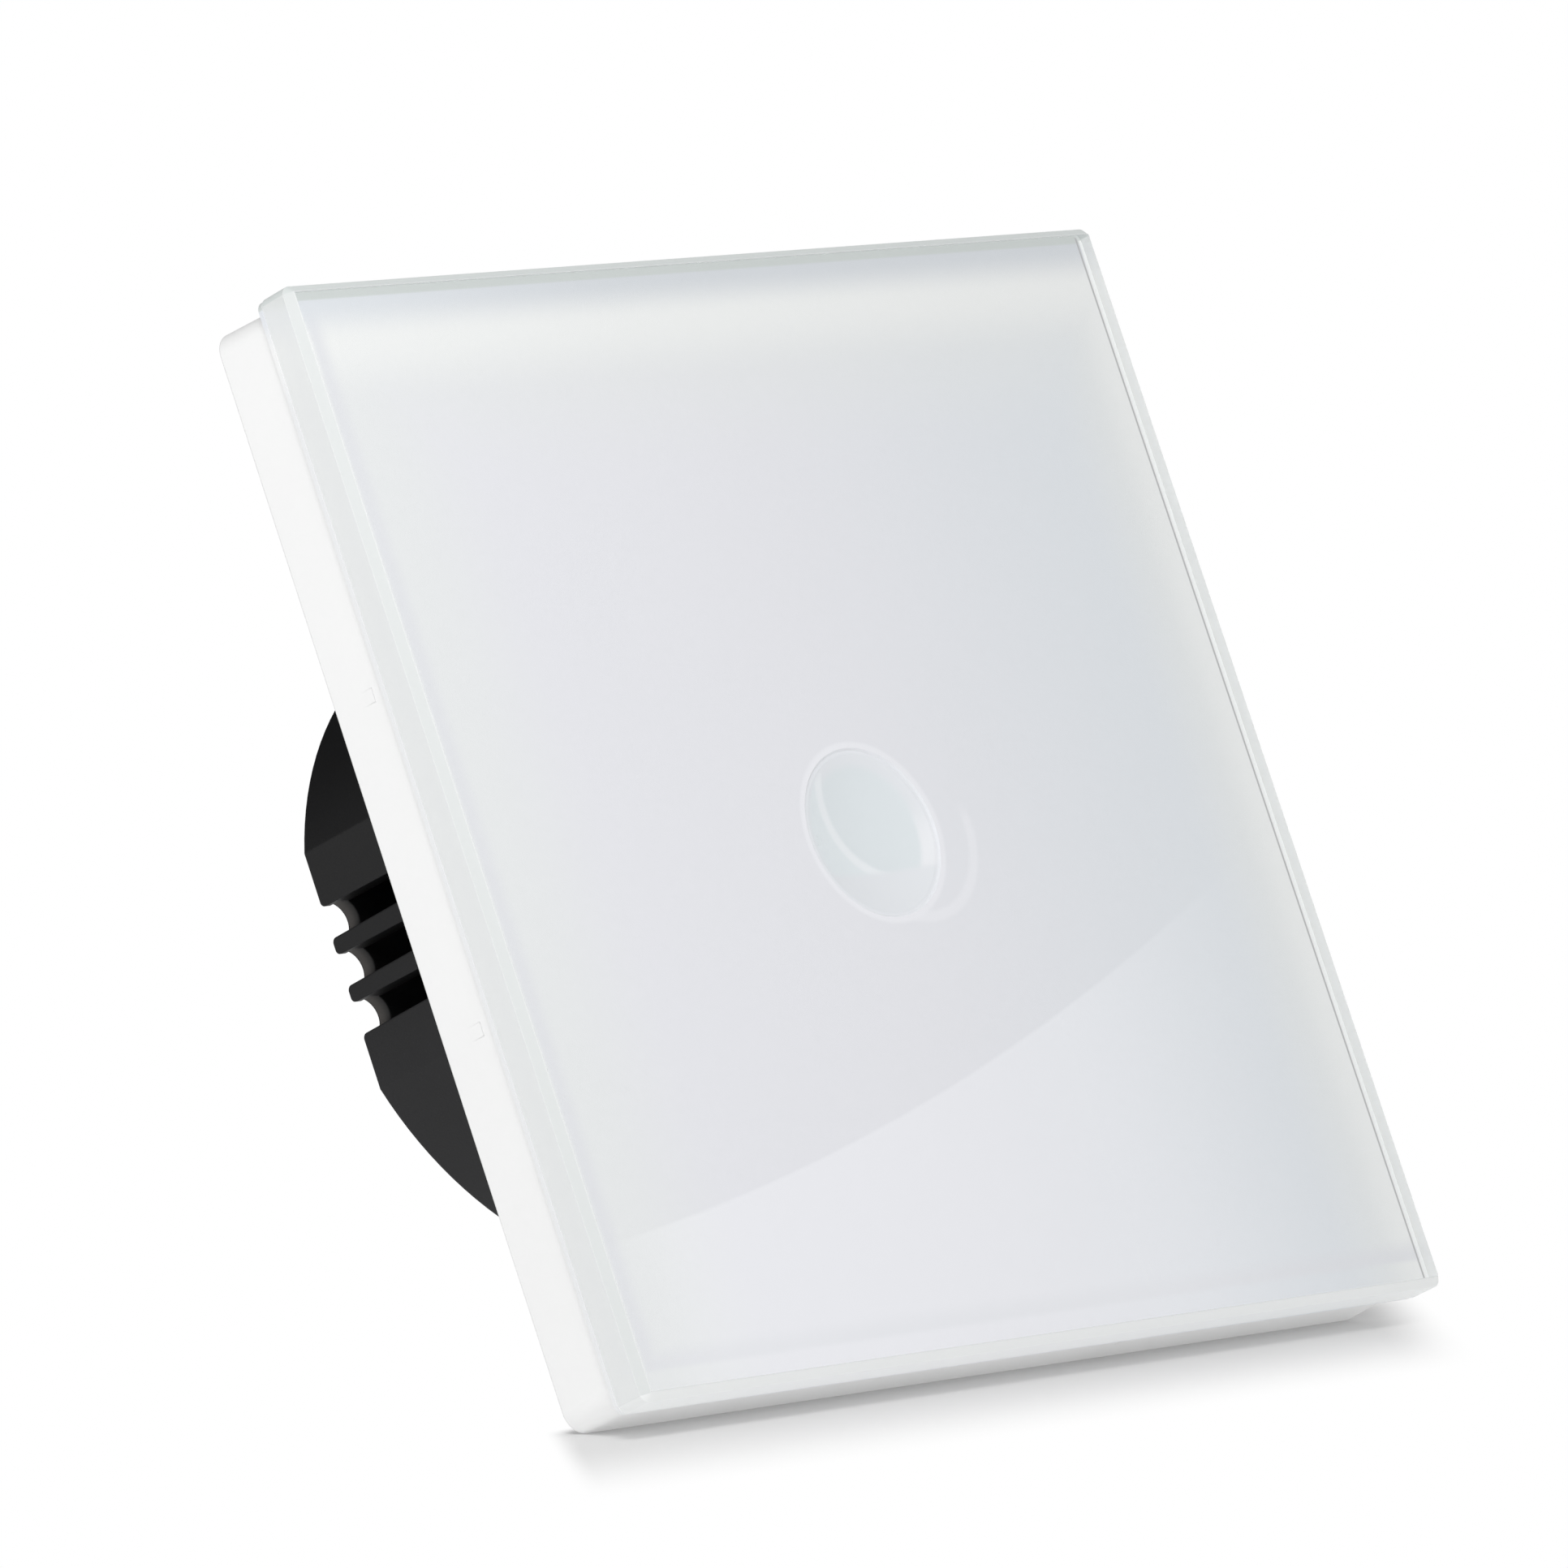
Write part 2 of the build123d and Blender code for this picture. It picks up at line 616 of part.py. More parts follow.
with BuildPart() as contact_bars:
    for place in terminal_places:
        with BuildSketch(Plane.YZ.offset(place - bar_width / 2)) as bar_side:
            with BuildLine():
                Polyline((board_rear, bar_top), (bar_rear, bar_top), (bar_rear, bar_bottom),
                         (bar_front, bar_bottom), (bar_front, bar_top - bar_thickness),
                         (board_rear, bar_top - bar_thickness), close=True)
            make_face()
            fillet(bar_side.vertices().sort_by(lambda corner: corner.X + corner.Y)[-1], bar_thickness)
        extrude(amount=bar_width)
save(contact_bars, "contact_bars")

# Terminal cages and screws: each screw turns in its seat and draws its cage back
groove_width = 0.6
groove_depth = 0.7

for index, place in enumerate(terminal_places, start=1):
    with BuildPart() as cage:
        with BuildSketch(Plane.XY.offset(screw_height - cage_length / 2)):
            with Locations((place, cage_front + cage_height / 2)):
                RectangleRounded(cage_width, cage_height, cage_side)
                Rectangle(cage_width - 2 * cage_side, cage_height - 2 * cage_floor, mode=Mode.SUBTRACT)
        extrude(amount=cage_length)
        with BuildSketch(facing(cage_front + cage_height)):
            with Locations((place, screw_height)):
                Circle(terminal_radius + running_gap)
        extrude(amount=cage_height / 2, mode=Mode.SUBTRACT)
    save(cage, f"terminal_cage_{index}")

    with BuildPart() as clamp_screw:
        with BuildSketch(facing(head_seat + terminal_head_height)):
            with Locations((place, screw_height)):
                Circle(terminal_head)
        extrude(amount=terminal_head_height)
        chamfer(clamp_screw.faces().sort_by(Axis.Y)[-1].edges(), terminal_head_height / 4)
        with BuildSketch(facing(head_seat)):
            with Locations((place, screw_height)):
                Circle(terminal_radius)
        extrude(amount=head_seat - bar_front - bar_thickness - running_gap)
        with BuildSketch(facing(head_seat + terminal_head_height - groove_depth)):
            with Locations((place, screw_height)):
                Rectangle(2 * terminal_head, groove_width)
        extrude(amount=-groove_depth - overrun, mode=Mode.SUBTRACT)
    save(clamp_screw, f"terminal_screw_{index}")

# Relay: everything stands on its base, behind the power board
relay_height = 11.8       # middle of the relay, above the middle of the plate
relay_length = 19.0
relay_width = 9.2
relay_head = 1.1          # relay to the rear wall
relay_tall = rear_room - relay_head
relay_skin = 0.6
relay_base_height = 1.6
relay_corner = 0.8
base_length = relay_length - 2 * relay_skin - loose_gap
base_width = relay_width - 2 * relay_skin - loose_gap
relay_floor = board_rear + relay_base_height

with BuildPart() as relay_base:
    with BuildSketch(facing(relay_floor)):
        with Locations((0, relay_height)):
            RectangleRounded(base_length, base_width, relay_skin)
    extrude(amount=relay_base_height)
save(relay_base, "relay_base")

with BuildPart() as relay_case:
    with BuildSketch(facing(board_rear + relay_tall)):
        with Locations((0, relay_height)):
            RectangleRounded(relay_length, relay_width, relay_corner)
    extrude(amount=relay_tall)
    chamfer(relay_case.faces().sort_by(Axis.Y)[-1].edges(), relay_skin / 2)
    with BuildSketch(facing(board_rear + relay_tall - relay_skin)):
        with Locations((0, relay_height)):
            RectangleRounded(relay_length - 2 * relay_skin, relay_width - 2 * relay_skin,
                             relay_corner / 2)
    extrude(amount=relay_tall - relay_skin, mode=Mode.SUBTRACT)
save(relay_case, "relay_case")

# Yoke: bent iron strip under the coil and up beside it
yoke_thickness = 1.0
yoke_width = 6.0
yoke_left = -8.6
yoke_foot = 7.4
armature_room = 2.0       # tip of the yoke to the inside of the case
yoke_tall = relay_tall - relay_skin - relay_base_height - armature_room

with BuildPart() as relay_yoke:
    with BuildSketch(Plane.XY.offset(relay_height - yoke_width / 2)) as yoke_side:
        with BuildLine():
            Polyline((yoke_left, relay_floor), (yoke_left + yoke_foot, relay_floor),
                     (yoke_left + yoke_foot, relay_floor + yoke_thickness),
                     (yoke_left + yoke_thickness, relay_floor + yoke_thickness),
                     (yoke_left + yoke_thickness, relay_floor + yoke_tall),
                     (yoke_left, relay_floor + yoke_tall), close=True)
        make_face()
        fillet(yoke_side.vertices().sort_by(lambda corner: corner.X + corner.Y)[0], yoke_thickness)
    extrude(amount=yoke_width)
save(relay_yoke, "relay_yoke")

# Coil former, winding and core, on the foot of the yoke
coil_x = -3.6
former_size = 7.2
former_flange = 0.6
former_tube = 1.9
winding_radius = 3.3
core_radius = 1.5
pole_radius = 2.5
pole_height = 0.6
pole_inset = 0.4          # tip of the yoke to the pole
former_tall = yoke_tall - yoke_thickness - pole_height - pole_inset
coil_front = relay_floor + yoke_thickness
former_rear = coil_front + former_tall
pole_face = former_rear + pole_height

with BuildPart() as coil_former:
    for level in (coil_front + former_flange, former_rear):
        with BuildSketch(facing(level)):
            with Locations((coil_x, relay_height)):
                RectangleRounded(former_size, former_size, former_flange)
        extrude(amount=former_flange)
    with BuildSketch(facing(former_rear)):
        with Locations((coil_x, relay_height)):
            Circle(former_tube)
    extrude(amount=former_tall)
    with BuildSketch(facing(former_rear)):
        with Locations((coil_x, relay_height)):
            Circle(core_radius + running_gap)
    extrude(amount=former_tall, mode=Mode.SUBTRACT)
save(coil_former, "coil_former")

with BuildPart() as coil_winding:
    with BuildSketch(facing(former_rear - former_flange - running_gap)):
        with Locations((coil_x, relay_height)):
            Circle(winding_radius)
            Circle(former_tube + running_gap, mode=Mode.SUBTRACT)
    extrude(amount=former_tall - 2 * former_flange - 2 * running_gap)
save(coil_winding, "coil_winding")

with BuildPart() as coil_core:
    with BuildSketch(facing(former_rear)):
        with Locations((coil_x, relay_height)):
            Circle(core_radius)
    extrude(amount=former_tall)
    with BuildSketch(facing(pole_face)):
        with Locations((coil_x, relay_height)):
            Circle(pole_radius)
    extrude(amount=pole_height)
save(coil_core, "coil_core")

# Armature: iron plate that rocks on the tip of the yoke, and the blade that it carries
armature_gap = 0.05
armature_thickness = 0.8
armature_length = 11.2
armature_neck = 4.0       # length of the narrow tongue that carries the blade
tongue_width = 3.6
armature_front = relay_floor + yoke_tall + armature_gap
armature_rear = armature_front + armature_thickness
blade_thickness = 0.2
blade_left = -5.6
blade_right = 8.0
blade_width = 2.4
contact_x = 7.0
contact_radius = 0.9
contact_gap = 0.7
contact_height = 0.5
button_height = 0.6

with BuildPart() as relay_armature:
    with BuildSketch(facing(armature_rear)):
        with Locations((yoke_left + armature_length / 2, relay_height)):
            RectangleRounded(armature_length, yoke_width, former_flange)
        for side in (-1, 1):
            with Locations((yoke_left + armature_length, relay_height + side * yoke_width / 2)):
                Rectangle(2 * armature_neck, yoke_width - tongue_width, mode=Mode.SUBTRACT)
    extrude(amount=armature_thickness)
save(relay_armature, "relay_armature")

with BuildPart() as contact_blade:
    with BuildSketch(facing(armature_rear + blade_thickness)):
        with Locations(((blade_left + blade_right) / 2, relay_height)):
            RectangleRounded(blade_right - blade_left, blade_width, blade_width / 3)
    extrude(amount=blade_thickness)
    with BuildSketch(facing(armature_rear)):
        with Locations((contact_x, relay_height)):
            Circle(contact_radius)
    extrude(amount=button_height)
save(contact_blade, "contact_blade")

# Fixed contact on its post
post_width = 1.6
post_thickness = 0.8
button_front = armature_rear - button_height
fixed_top = button_front - contact_gap

with BuildPart() as fixed_contact:
    with BuildSketch(facing(fixed_top - contact_height)):
        with Locations((contact_x, relay_height)):
            Rectangle(post_width, blade_width)
    extrude(amount=post_thickness)
    with BuildSketch(facing(fixed_top - contact_height)):
        with Locations((contact_x, relay_height)):
            Rectangle(post_thickness, blade_width)
    extrude(amount=fixed_top - contact_height - relay_floor)
    with BuildSketch(facing(fixed_top)):
        with Locations((contact_x, relay_height)):
            Circle(contact_radius)
    extrude(amount=contact_height)
save(fixed_contact, "fixed_contact")

# Transformer: two iron cheeks and a middle limb through a wound former
core_x = -11.6
core_height = -1.0
core_length = 12.0
core_depth = 4.4
core_limb = 2.2
transformer_stand = 1.0
transformer_head = 3.7    # transformer to the rear wall
core_tall = rear_room - transformer_stand - transformer_head
wound_width = 9.6

former_x = 11.4
former_z = 9.8

with BuildPart() as transformer_base:
    with BuildSketch(facing(board_rear + transformer_stand)):
        with Locations((core_x, core_height)):
            RectangleRounded(former_x, former_z, transformer_stand / 2)
    extrude(amount=transformer_stand)
save(transformer_base, "transformer_base")

with BuildPart() as transformer_core:
    with BuildSketch(facing(board_rear + transformer_stand + core_tall)):
        with Locations((core_x, core_height)):
            Rectangle(core_length, core_depth)
    extrude(amount=core_tall)
    with BuildSketch(facing(board_rear + transformer_stand + core_tall - core_limb)):
        for side in (-1, 1):
            with Locations((core_x + side * (core_length / 4 - core_limb / 4), core_height)):
                Rectangle((core_length - 3 * core_limb) / 2, core_depth)
    extrude(amount=core_tall - 2 * core_limb, mode=Mode.SUBTRACT)
save(transformer_core, "transformer_core")

with BuildPart() as transformer_coil:
    with BuildSketch(facing(board_rear + transformer_stand + core_tall - core_limb - running_gap)):
        with Locations((core_x, core_height)):
            RectangleRounded(core_length - 2 * core_limb - 2 * running_gap, wound_width, core_limb)
            Rectangle(core_limb + 2 * running_gap, core_depth + 2 * running_gap, mode=Mode.SUBTRACT)
    extrude(amount=core_tall - 2 * core_limb - 2 * running_gap)
save(transformer_coil, "transformer_coil")

# Film capacitor: moulded box
film_x = -0.4
film_height = -1.4
film_length = 12.0
film_width = 5.6
film_head = 3.7           # capacitor to the rear wall
film_tall = rear_room - film_head
film_round = 0.6

with BuildPart() as film_capacitor:
    with BuildSketch(facing(board_rear + film_tall)):
        with Locations((film_x, film_height)):
            RectangleRounded(film_width, film_length, film_round)
    extrude(amount=film_tall)
    chamfer(film_capacitor.faces().sort_by(Axis.Y)[-1].edges(), film_round / 2)
save(film_capacitor, "film_capacitor")

# Reservoir capacitor: can with a rolled groove above its seal
can_x = 8.6
can_height = 1.0
can_radius = 4.0
can_head = 2.2            # can to the rear wall
can_tall = rear_room - can_head
can_groove = 0.4
can_groove_level = 1.8
can_round = 0.5

with BuildPart() as reservoir_capacitor:
    with BuildSketch(facing(board_rear + can_tall)):
        with Locations((can_x, can_height)):
            Circle(can_radius)
    extrude(amount=can_tall)
    chamfer(reservoir_capacitor.edges().sort_by(Axis.Y)[-1], can_round)
    with BuildSketch(facing(board_rear + can_groove_level + can_groove)):
        with Locations((can_x, can_height)):
            Circle(can_radius + overrun)
            Circle(can_radius - can_groove, mode=Mode.SUBTRACT)
    extrude(amount=can_groove, mode=Mode.SUBTRACT)
save(reservoir_capacitor, "reservoir_capacitor")

# Varistor: lacquered disc on edge with two wires into the board
disc_x = 16.2
disc_height = 1.0
disc_radius = 3.4
disc_thickness = 2.4
disc_stand = 1.6
wire_radius = 0.3

with BuildPart() as varistor:
    with BuildSketch(Plane.YZ.offset(disc_x - disc_thickness / 2)):
        with Locations((board_rear + disc_stand + disc_radius, disc_height)):
            Circle(disc_radius)
    extrude(amount=disc_thickness)
    chamfer(varistor.edges().filter_by(GeomType.CIRCLE), disc_thickness / 4)
    with BuildSketch(facing(board_rear + disc_stand + disc_radius)):
        with Locations((disc_x, disc_height - disc_radius / 2), (disc_x, disc_height + disc_radius / 2)):
            Circle(wire_radius)
    extrude(amount=disc_stand + disc_radius)
save(varistor, "varistor")

# Fuse: capped tube lying on the board
fuse_x = 9.4
fuse_height = -6.8
fuse_length = 8.6
fuse_radius = 1.5
fuse_cap = 1.6
fuse_cap_wall = 0.15

with BuildPart() as fuse:
    with BuildSketch(Plane.YZ.offset(fuse_x - fuse_length / 2)):
        with Locations((board_rear + fuse_radius + fuse_cap_wall, fuse_height)):
            Circle(fuse_radius)
    extrude(amount=fuse_length)
    for left in (fuse_x - fuse_length / 2, fuse_x + fuse_length / 2 - fuse_cap):
        with BuildSketch(Plane.YZ.offset(left)):
            with Locations((board_rear + fuse_radius + fuse_cap_wall, fuse_height)):
                Circle(fuse_radius + fuse_cap_wall)
        extrude(amount=fuse_cap)
save(fuse, "fuse")

# Bridge rectifier on the front face of the power board
bridge_x = 9.0
bridge_height = 2.0
bridge_length = 6.4
bridge_width = 4.8
bridge_tall = 2.4
bridge_leg = 1.2
bridge_pitch = 3.6

with BuildPart() as bridge_rectifier:
    with BuildSketch(facing(board_front)):
        with Locations((bridge_x, bridge_height)):
            Rectangle(bridge_length, bridge_width)
    extrude(amount=bridge_tall)
    chamfer(bridge_rectifier.edges().filter_by(Axis.Y).sort_by(Axis.X)[:2], bridge_tall / 4)
    with BuildSketch(facing(board_front)):
        with Locations((bridge_x, bridge_height)):
            with GridLocations(bridge_pitch, bridge_width + bridge_leg, 2, 2):
                Rectangle(bridge_leg, bridge_leg)
    extrude(amount=leg_thickness)
save(bridge_rectifier, "bridge_rectifier")
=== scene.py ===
import math

import bmesh
import bpy
from mathutils import Euler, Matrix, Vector


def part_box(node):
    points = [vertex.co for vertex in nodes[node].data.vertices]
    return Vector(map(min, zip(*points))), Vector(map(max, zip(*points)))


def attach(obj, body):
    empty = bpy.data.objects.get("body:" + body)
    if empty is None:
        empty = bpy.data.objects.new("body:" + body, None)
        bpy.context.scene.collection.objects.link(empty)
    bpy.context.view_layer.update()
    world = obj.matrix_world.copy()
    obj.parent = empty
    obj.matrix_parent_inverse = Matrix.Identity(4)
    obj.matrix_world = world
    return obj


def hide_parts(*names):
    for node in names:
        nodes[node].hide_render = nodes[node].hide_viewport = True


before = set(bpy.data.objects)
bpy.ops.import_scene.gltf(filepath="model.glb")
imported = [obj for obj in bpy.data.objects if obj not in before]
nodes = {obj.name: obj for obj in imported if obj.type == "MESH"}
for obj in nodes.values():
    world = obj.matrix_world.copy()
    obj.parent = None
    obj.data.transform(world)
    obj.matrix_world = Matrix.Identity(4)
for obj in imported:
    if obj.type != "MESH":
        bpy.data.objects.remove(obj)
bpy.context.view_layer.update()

scene = bpy.context.scene
mm = 0.001
dishDrop = -2.3 * mm  # height of the touch dish's centre
onWall = (1.0, 0.0, 1.0)  # flattens a place onto the plane of the wall
ringCore = 0.3  # share of a drawn ring's width that has its full tone
print("frame loaded,", len(nodes), "nodes")


# One output socket of a node tree, so that masks and sums are written as plain arithmetic.
class Wire:
    def __init__(self, sheet, socket):
        self.sheet = sheet
        self.socket = socket

    def math(self, operation, first, second=0.0):
        return self.sheet.add("ShaderNodeMath", {"operation": operation}, {0: first, 1: second})

    def __add__(self, other):
        return self.math("ADD", self, other)

    def __sub__(self, other):
        return self.math("SUBTRACT", self, other)

    def __rsub__(self, other):
        return self.math("SUBTRACT", other, self)

    def __mul__(self, other):
        return self.math("MULTIPLY", self, other)

    def __neg__(self):
        return 0.0 - self

    def __abs__(self):
        return self.math("ABSOLUTE", self)

    __radd__ = __add__
    __rmul__ = __mul__

    # 0 below low, 1 above high, and smooth in between
    def rise(self, low, high):
        return self.sheet.add("ShaderNodeMapRange", {"interpolation_type": "SMOOTHSTEP"},
                              {"Value": self, "From Min": low, "From Max": high})

    # up over the first pair of places, and down again over the second
    def between(self, up, down):
        return self.rise(*up) * (1 - self.rise(*down))

    def larger(self, other):
        return self.math("MAXIMUM", self, other)

    def power(self, exponent):
        return self.math("POWER", self, exponent)


# A node tree of a material or of the world.
class Sheet:
    def __init__(self, owner, output):
        owner.use_nodes = True
        self.owner = owner
        self.tree = owner.node_tree
        self.tree.nodes.clear()
        self.output = self.tree.nodes.new(output)

    def add(self, kind, settings=None, sockets=None, out=0):
        node = self.tree.nodes.new(kind)
        for name, value in (settings or {}).items():
            setattr(node, name, value)
        for key, value in (sockets or {}).items():
            if isinstance(value, Wire):
                self.tree.links.new(value.socket, node.inputs[key])
            else:
                node.inputs[key].default_value = value
        return Wire(self, node.outputs[out])

    def finish(self, shader):
        self.tree.links.new(shader.socket, self.output.inputs["Surface"])
        return self.owner

    def place(self):
        return self.add("ShaderNodeTexCoord", out="Object")

    def stretched(self, amounts):
        return self.add("ShaderNodeVectorMath", {"operation": "MULTIPLY"}, {0: self.place(), 1: amounts})

    def along(self, axis):
        return self.add("ShaderNodeSeparateXYZ", None, {0: self.place()}, out=axis)

    # Distance from a point of the glass, as seen from the front
    def away(self, x, z):
        return self.add("ShaderNodeVectorMath", {"operation": "DISTANCE"},
                        {0: self.stretched(onWall), 1: (x, 0.0, z)}, out="Value")

    # 1 on a circle, fading to 0 over the given width on each side
    def ring(self, x, z, radius, width):
        return 1 - abs(self.away(x, z) - radius).rise(width * ringCore, width)

    # Noise with features of about the given size in metres, spread round 0.5
    def noise(self, size, detail=2.0, stretch=None):
        at = self.stretched(stretch) if stretch else self.place()
        return self.add("ShaderNodeTexNoise", None, {"Vector": at, "Scale": 1 / size, "Detail": detail})

    def mix(self, share, first, second):
        return self.add("ShaderNodeMix", {"data_type": "RGBA"}, {0: share, 6: first, 7: second}, out=2)

    # A colour that goes between two shades of itself
    def clouded(self, cloud, color, shades):
        return self.mix(cloud, shade(color, shades[0]), shade(color, shades[1]))

    def bump(self, height, depth, strength, over=None):
        sockets = {"Height": height, "Distance": depth, "Strength": strength}
        if over:
            sockets["Normal"] = over
        return self.add("ShaderNodeBump", None, sockets)

    def principled(self, sockets):
        return self.add("ShaderNodeBsdfPrincipled", None, sockets)

    def blend(self, share, first, second):
        return self.add("ShaderNodeMixShader", None, {0: share, 1: first, 2: second})

    # White light of the given strength
    def light(self, strength, kind="ShaderNodeEmission"):
        return self.add(kind, None, {"Color": (1.0, 1.0, 1.0, 1.0), "Strength": strength})

    def blackCloth(self):
        return self.add("ShaderNodeBsdfDiffuse", None, {"Color": (0.005, 0.005, 0.005, 1.0)})

    # 1 for a ray of any of the named kinds
    def ray(self, *kinds):
        first, *others = [self.add("ShaderNodeLightPath", out=f"Is {kind} Ray") for kind in kinds]
        for other in others:
            first = first.larger(other)
        return first


def material(name):
    return Sheet(bpy.data.materials.new(name), "ShaderNodeOutputMaterial")


def shade(color, amount=1.0):
    return [min(1.0, c * amount) for c in color] + [1.0]


# Painted light on the black housing: paler in its lower half, and a painted highlight in the
# flared notches at the ends of the slots. The rear face keeps the plain tone.
housingTones = {"lower": (-2 * mm, 9 * mm), "lowerShade": 2.3, "notch": (0.07, 0.064, 0.06),
                "notchHeight": 0.85 * mm, "notchReach": (5.4 * mm, 5.8 * mm),
                "notchDepth": ((22.2 * mm, 23.2 * mm), (23.38 * mm, 23.46 * mm)),
                "notchAside": ((18 * mm, 20.5 * mm), (22.3 * mm, 22.7 * mm))}


def toneHousing(s, color, plain):
    tones = housingTones
    z = s.along("Z")
    # painted light: the lower half paler
    color = s.mix((-z).rise(*tones["lower"]), color, shade(plain, tones["lowerShade"]))
    # painted highlight in the flared notches
    notch = s.along("Y").between(*tones["notchDepth"]) * abs(s.along("X")).between(*tones["notchAside"])
    notch = notch * (1 - abs(z - tones["notchHeight"]).rise(*tones["notchReach"]))
    return s.mix(notch, color, shade(tones["notch"]))


# Moulded or pressed finish: a little cloudiness in the colour, a fine grain, and edges that
# catch the light over a small radius. A finish gives what differs from these.
mouldedPlain = {"cloud": 9 * mm, "cloudRough": 0.12, "grain": 0.12 * mm, "grainRough": 0.08,
                "grainStrength": 0.6, "gloss": 0.5, "edge": None, "tones": None}


def moulded(name, changes):
    look = {**mouldedPlain, **changes}
    s = material(name)
    cloud = s.noise(look["cloud"], detail=3.0)
    grain = s.noise(look["grain"])
    color = s.clouded(cloud, look["color"], (1 - look["vary"], 1 + look["vary"]))
    # painted light by place, where a finish has it
    if look["tones"]:
        color = look["tones"](s, color, look["color"])
    edge = None
    if look["edge"]:
        edge = s.add("ShaderNodeBevel", {"samples": 6}, {"Radius": look["edge"]})
    rough = look["rough"] + (cloud - 0.5) * look["cloudRough"] + (grain - 0.5) * look["grainRough"]
    return s.finish(s.principled({"Base Color": color, "Roughness": rough,
                                  "Normal": s.bump(grain, look["grainDepth"], look["grainStrength"], edge),
                                  "Specular IOR Level": look["gloss"]}))


# Metal: streaks along one direction, or the flowered look of a zinc coat.
metalPlain = {"streak": 0.25 * mm, "stretch": (1.0, 1.0, 0.06), "streakRough": 0.15,
              "streakDepth": 0.004 * mm, "streakStrength": 0.5, "patch": 3 * mm, "uneven": 0.2,
              "flower": None, "flowerShare": 0.5}


def metal(name, changes):
    look = {**metalPlain, **changes}
    s = material(name)
    streak = s.noise(look["streak"], detail=3.0, stretch=look["stretch"])
    patch = s.noise(look["patch"])
    if look["flower"]:
        cell = s.add("ShaderNodeTexVoronoi", {"feature": "F1"},
                     {"Vector": s.place(), "Scale": 1 / look["flower"]}, out="Color")
        flower = s.add("ShaderNodeSeparateColor", None, {0: cell})
        patch = flower * look["flowerShare"] + patch * (1 - look["flowerShare"])
    color = s.clouded(patch, look["color"], (1 - look["vary"], 1 + look["vary"]))
    rough = look["rough"] + (patch - 0.5) * look["uneven"] + (streak - 0.5) * look["streakRough"]
    return s.finish(s.principled({"Base Color": color, "Metallic": 1.0, "Roughness": rough,
                                  "Normal": s.bump(streak, look["streakDepth"], look["streakStrength"])}))


print("material tools ready")

# Glass: polished faces and frosted ground edges, with painted shade on the frost of the top and
# the left side and painted light on that of the foot and the right side. It lets shadow and
# diffuse rays through, so that what lies behind it is lit.
glassLook = {"tint": (0.975, 0.99, 0.985), "index": 1.5, "half": 40 * mm, "chamfer": 0.6 * mm,
             "smear": 14 * mm, "smearRough": 0.012,
             # marks of the grinding wheel
             "ground": 0.4, "wheel": 0.18 * mm, "wheelRough": 0.1, "wheelDepth": 0.01 * mm,
             "wheelStrength": 0.4,
             # frost: its tones, with painted shade at the top and the left and painted light at the foot and
             # the right, and its shares on the chamfer and on the side
             "frost": (0.76, 0.775, 0.77), "frostShades": (0.97, 1.0), "frostRough": 0.6,
             "frostTop": (0.65, 0.685, 0.675), "frostLeft": (0.69, 0.713, 0.708),
             "frostFoot": (0.83, 0.845, 0.84), "frostRight": (0.9, 0.915, 0.91), "toneSoft": 0.1 * mm,
             "chamferShare": 0.92, "chamferSoft": 0.03 * mm,
             "sideShare": 0.65, "sideSoft": (0.04 * mm, 0.01 * mm)}


def glassFinish():
    look = glassLook
    s = material("glassFinish")
    inside = look["half"] - look["chamfer"]
    aside = abs(s.along("X")).larger(abs(s.along("Z")))
    groundEdge = aside.rise(inside - look["chamferSoft"], inside + look["chamferSoft"])
    side = aside.rise(*(look["half"] - soft for soft in look["sideSoft"]))
    wheel = s.noise(look["wheel"])
    rough = groundEdge * (look["ground"] + (wheel - 0.5) * look["wheelRough"])
    rough = rough + s.noise(look["smear"]) * look["smearRough"]
    glass = s.principled({"Base Color": shade(look["tint"]), "Roughness": rough, "IOR": look["index"],
                          "Transmission Weight": 1.0,
                          "Normal": s.bump(wheel * groundEdge, look["wheelDepth"], look["wheelStrength"])})
    frost = s.clouded(wheel, look["frost"], look["frostShades"])
    # painted light and shade on the frost of each side; the left side's is on its chamfer alone
    for axis, sign, tone, reach in (("X", -1, "frostLeft", 1 - side), ("X", 1, "frostRight", 1.0),
                                    ("Z", -1, "frostFoot", 1.0), ("Z", 1, "frostTop", 1.0)):
        mask = (s.along(axis) * sign).rise(inside, inside + look["toneSoft"]) * reach
        frost = s.mix(mask, frost, shade(look[tone]))
    frosted = s.principled({"Base Color": frost, "Roughness": look["frostRough"]})
    share = groundEdge * look["chamferShare"] + side * (look["sideShare"] - look["chamferShare"])
    glass = s.blend(share, glass, frosted)
    return s.finish(s.blend(s.ray("Shadow", "Diffuse"), glass, s.add("ShaderNodeBsdfTransparent")))
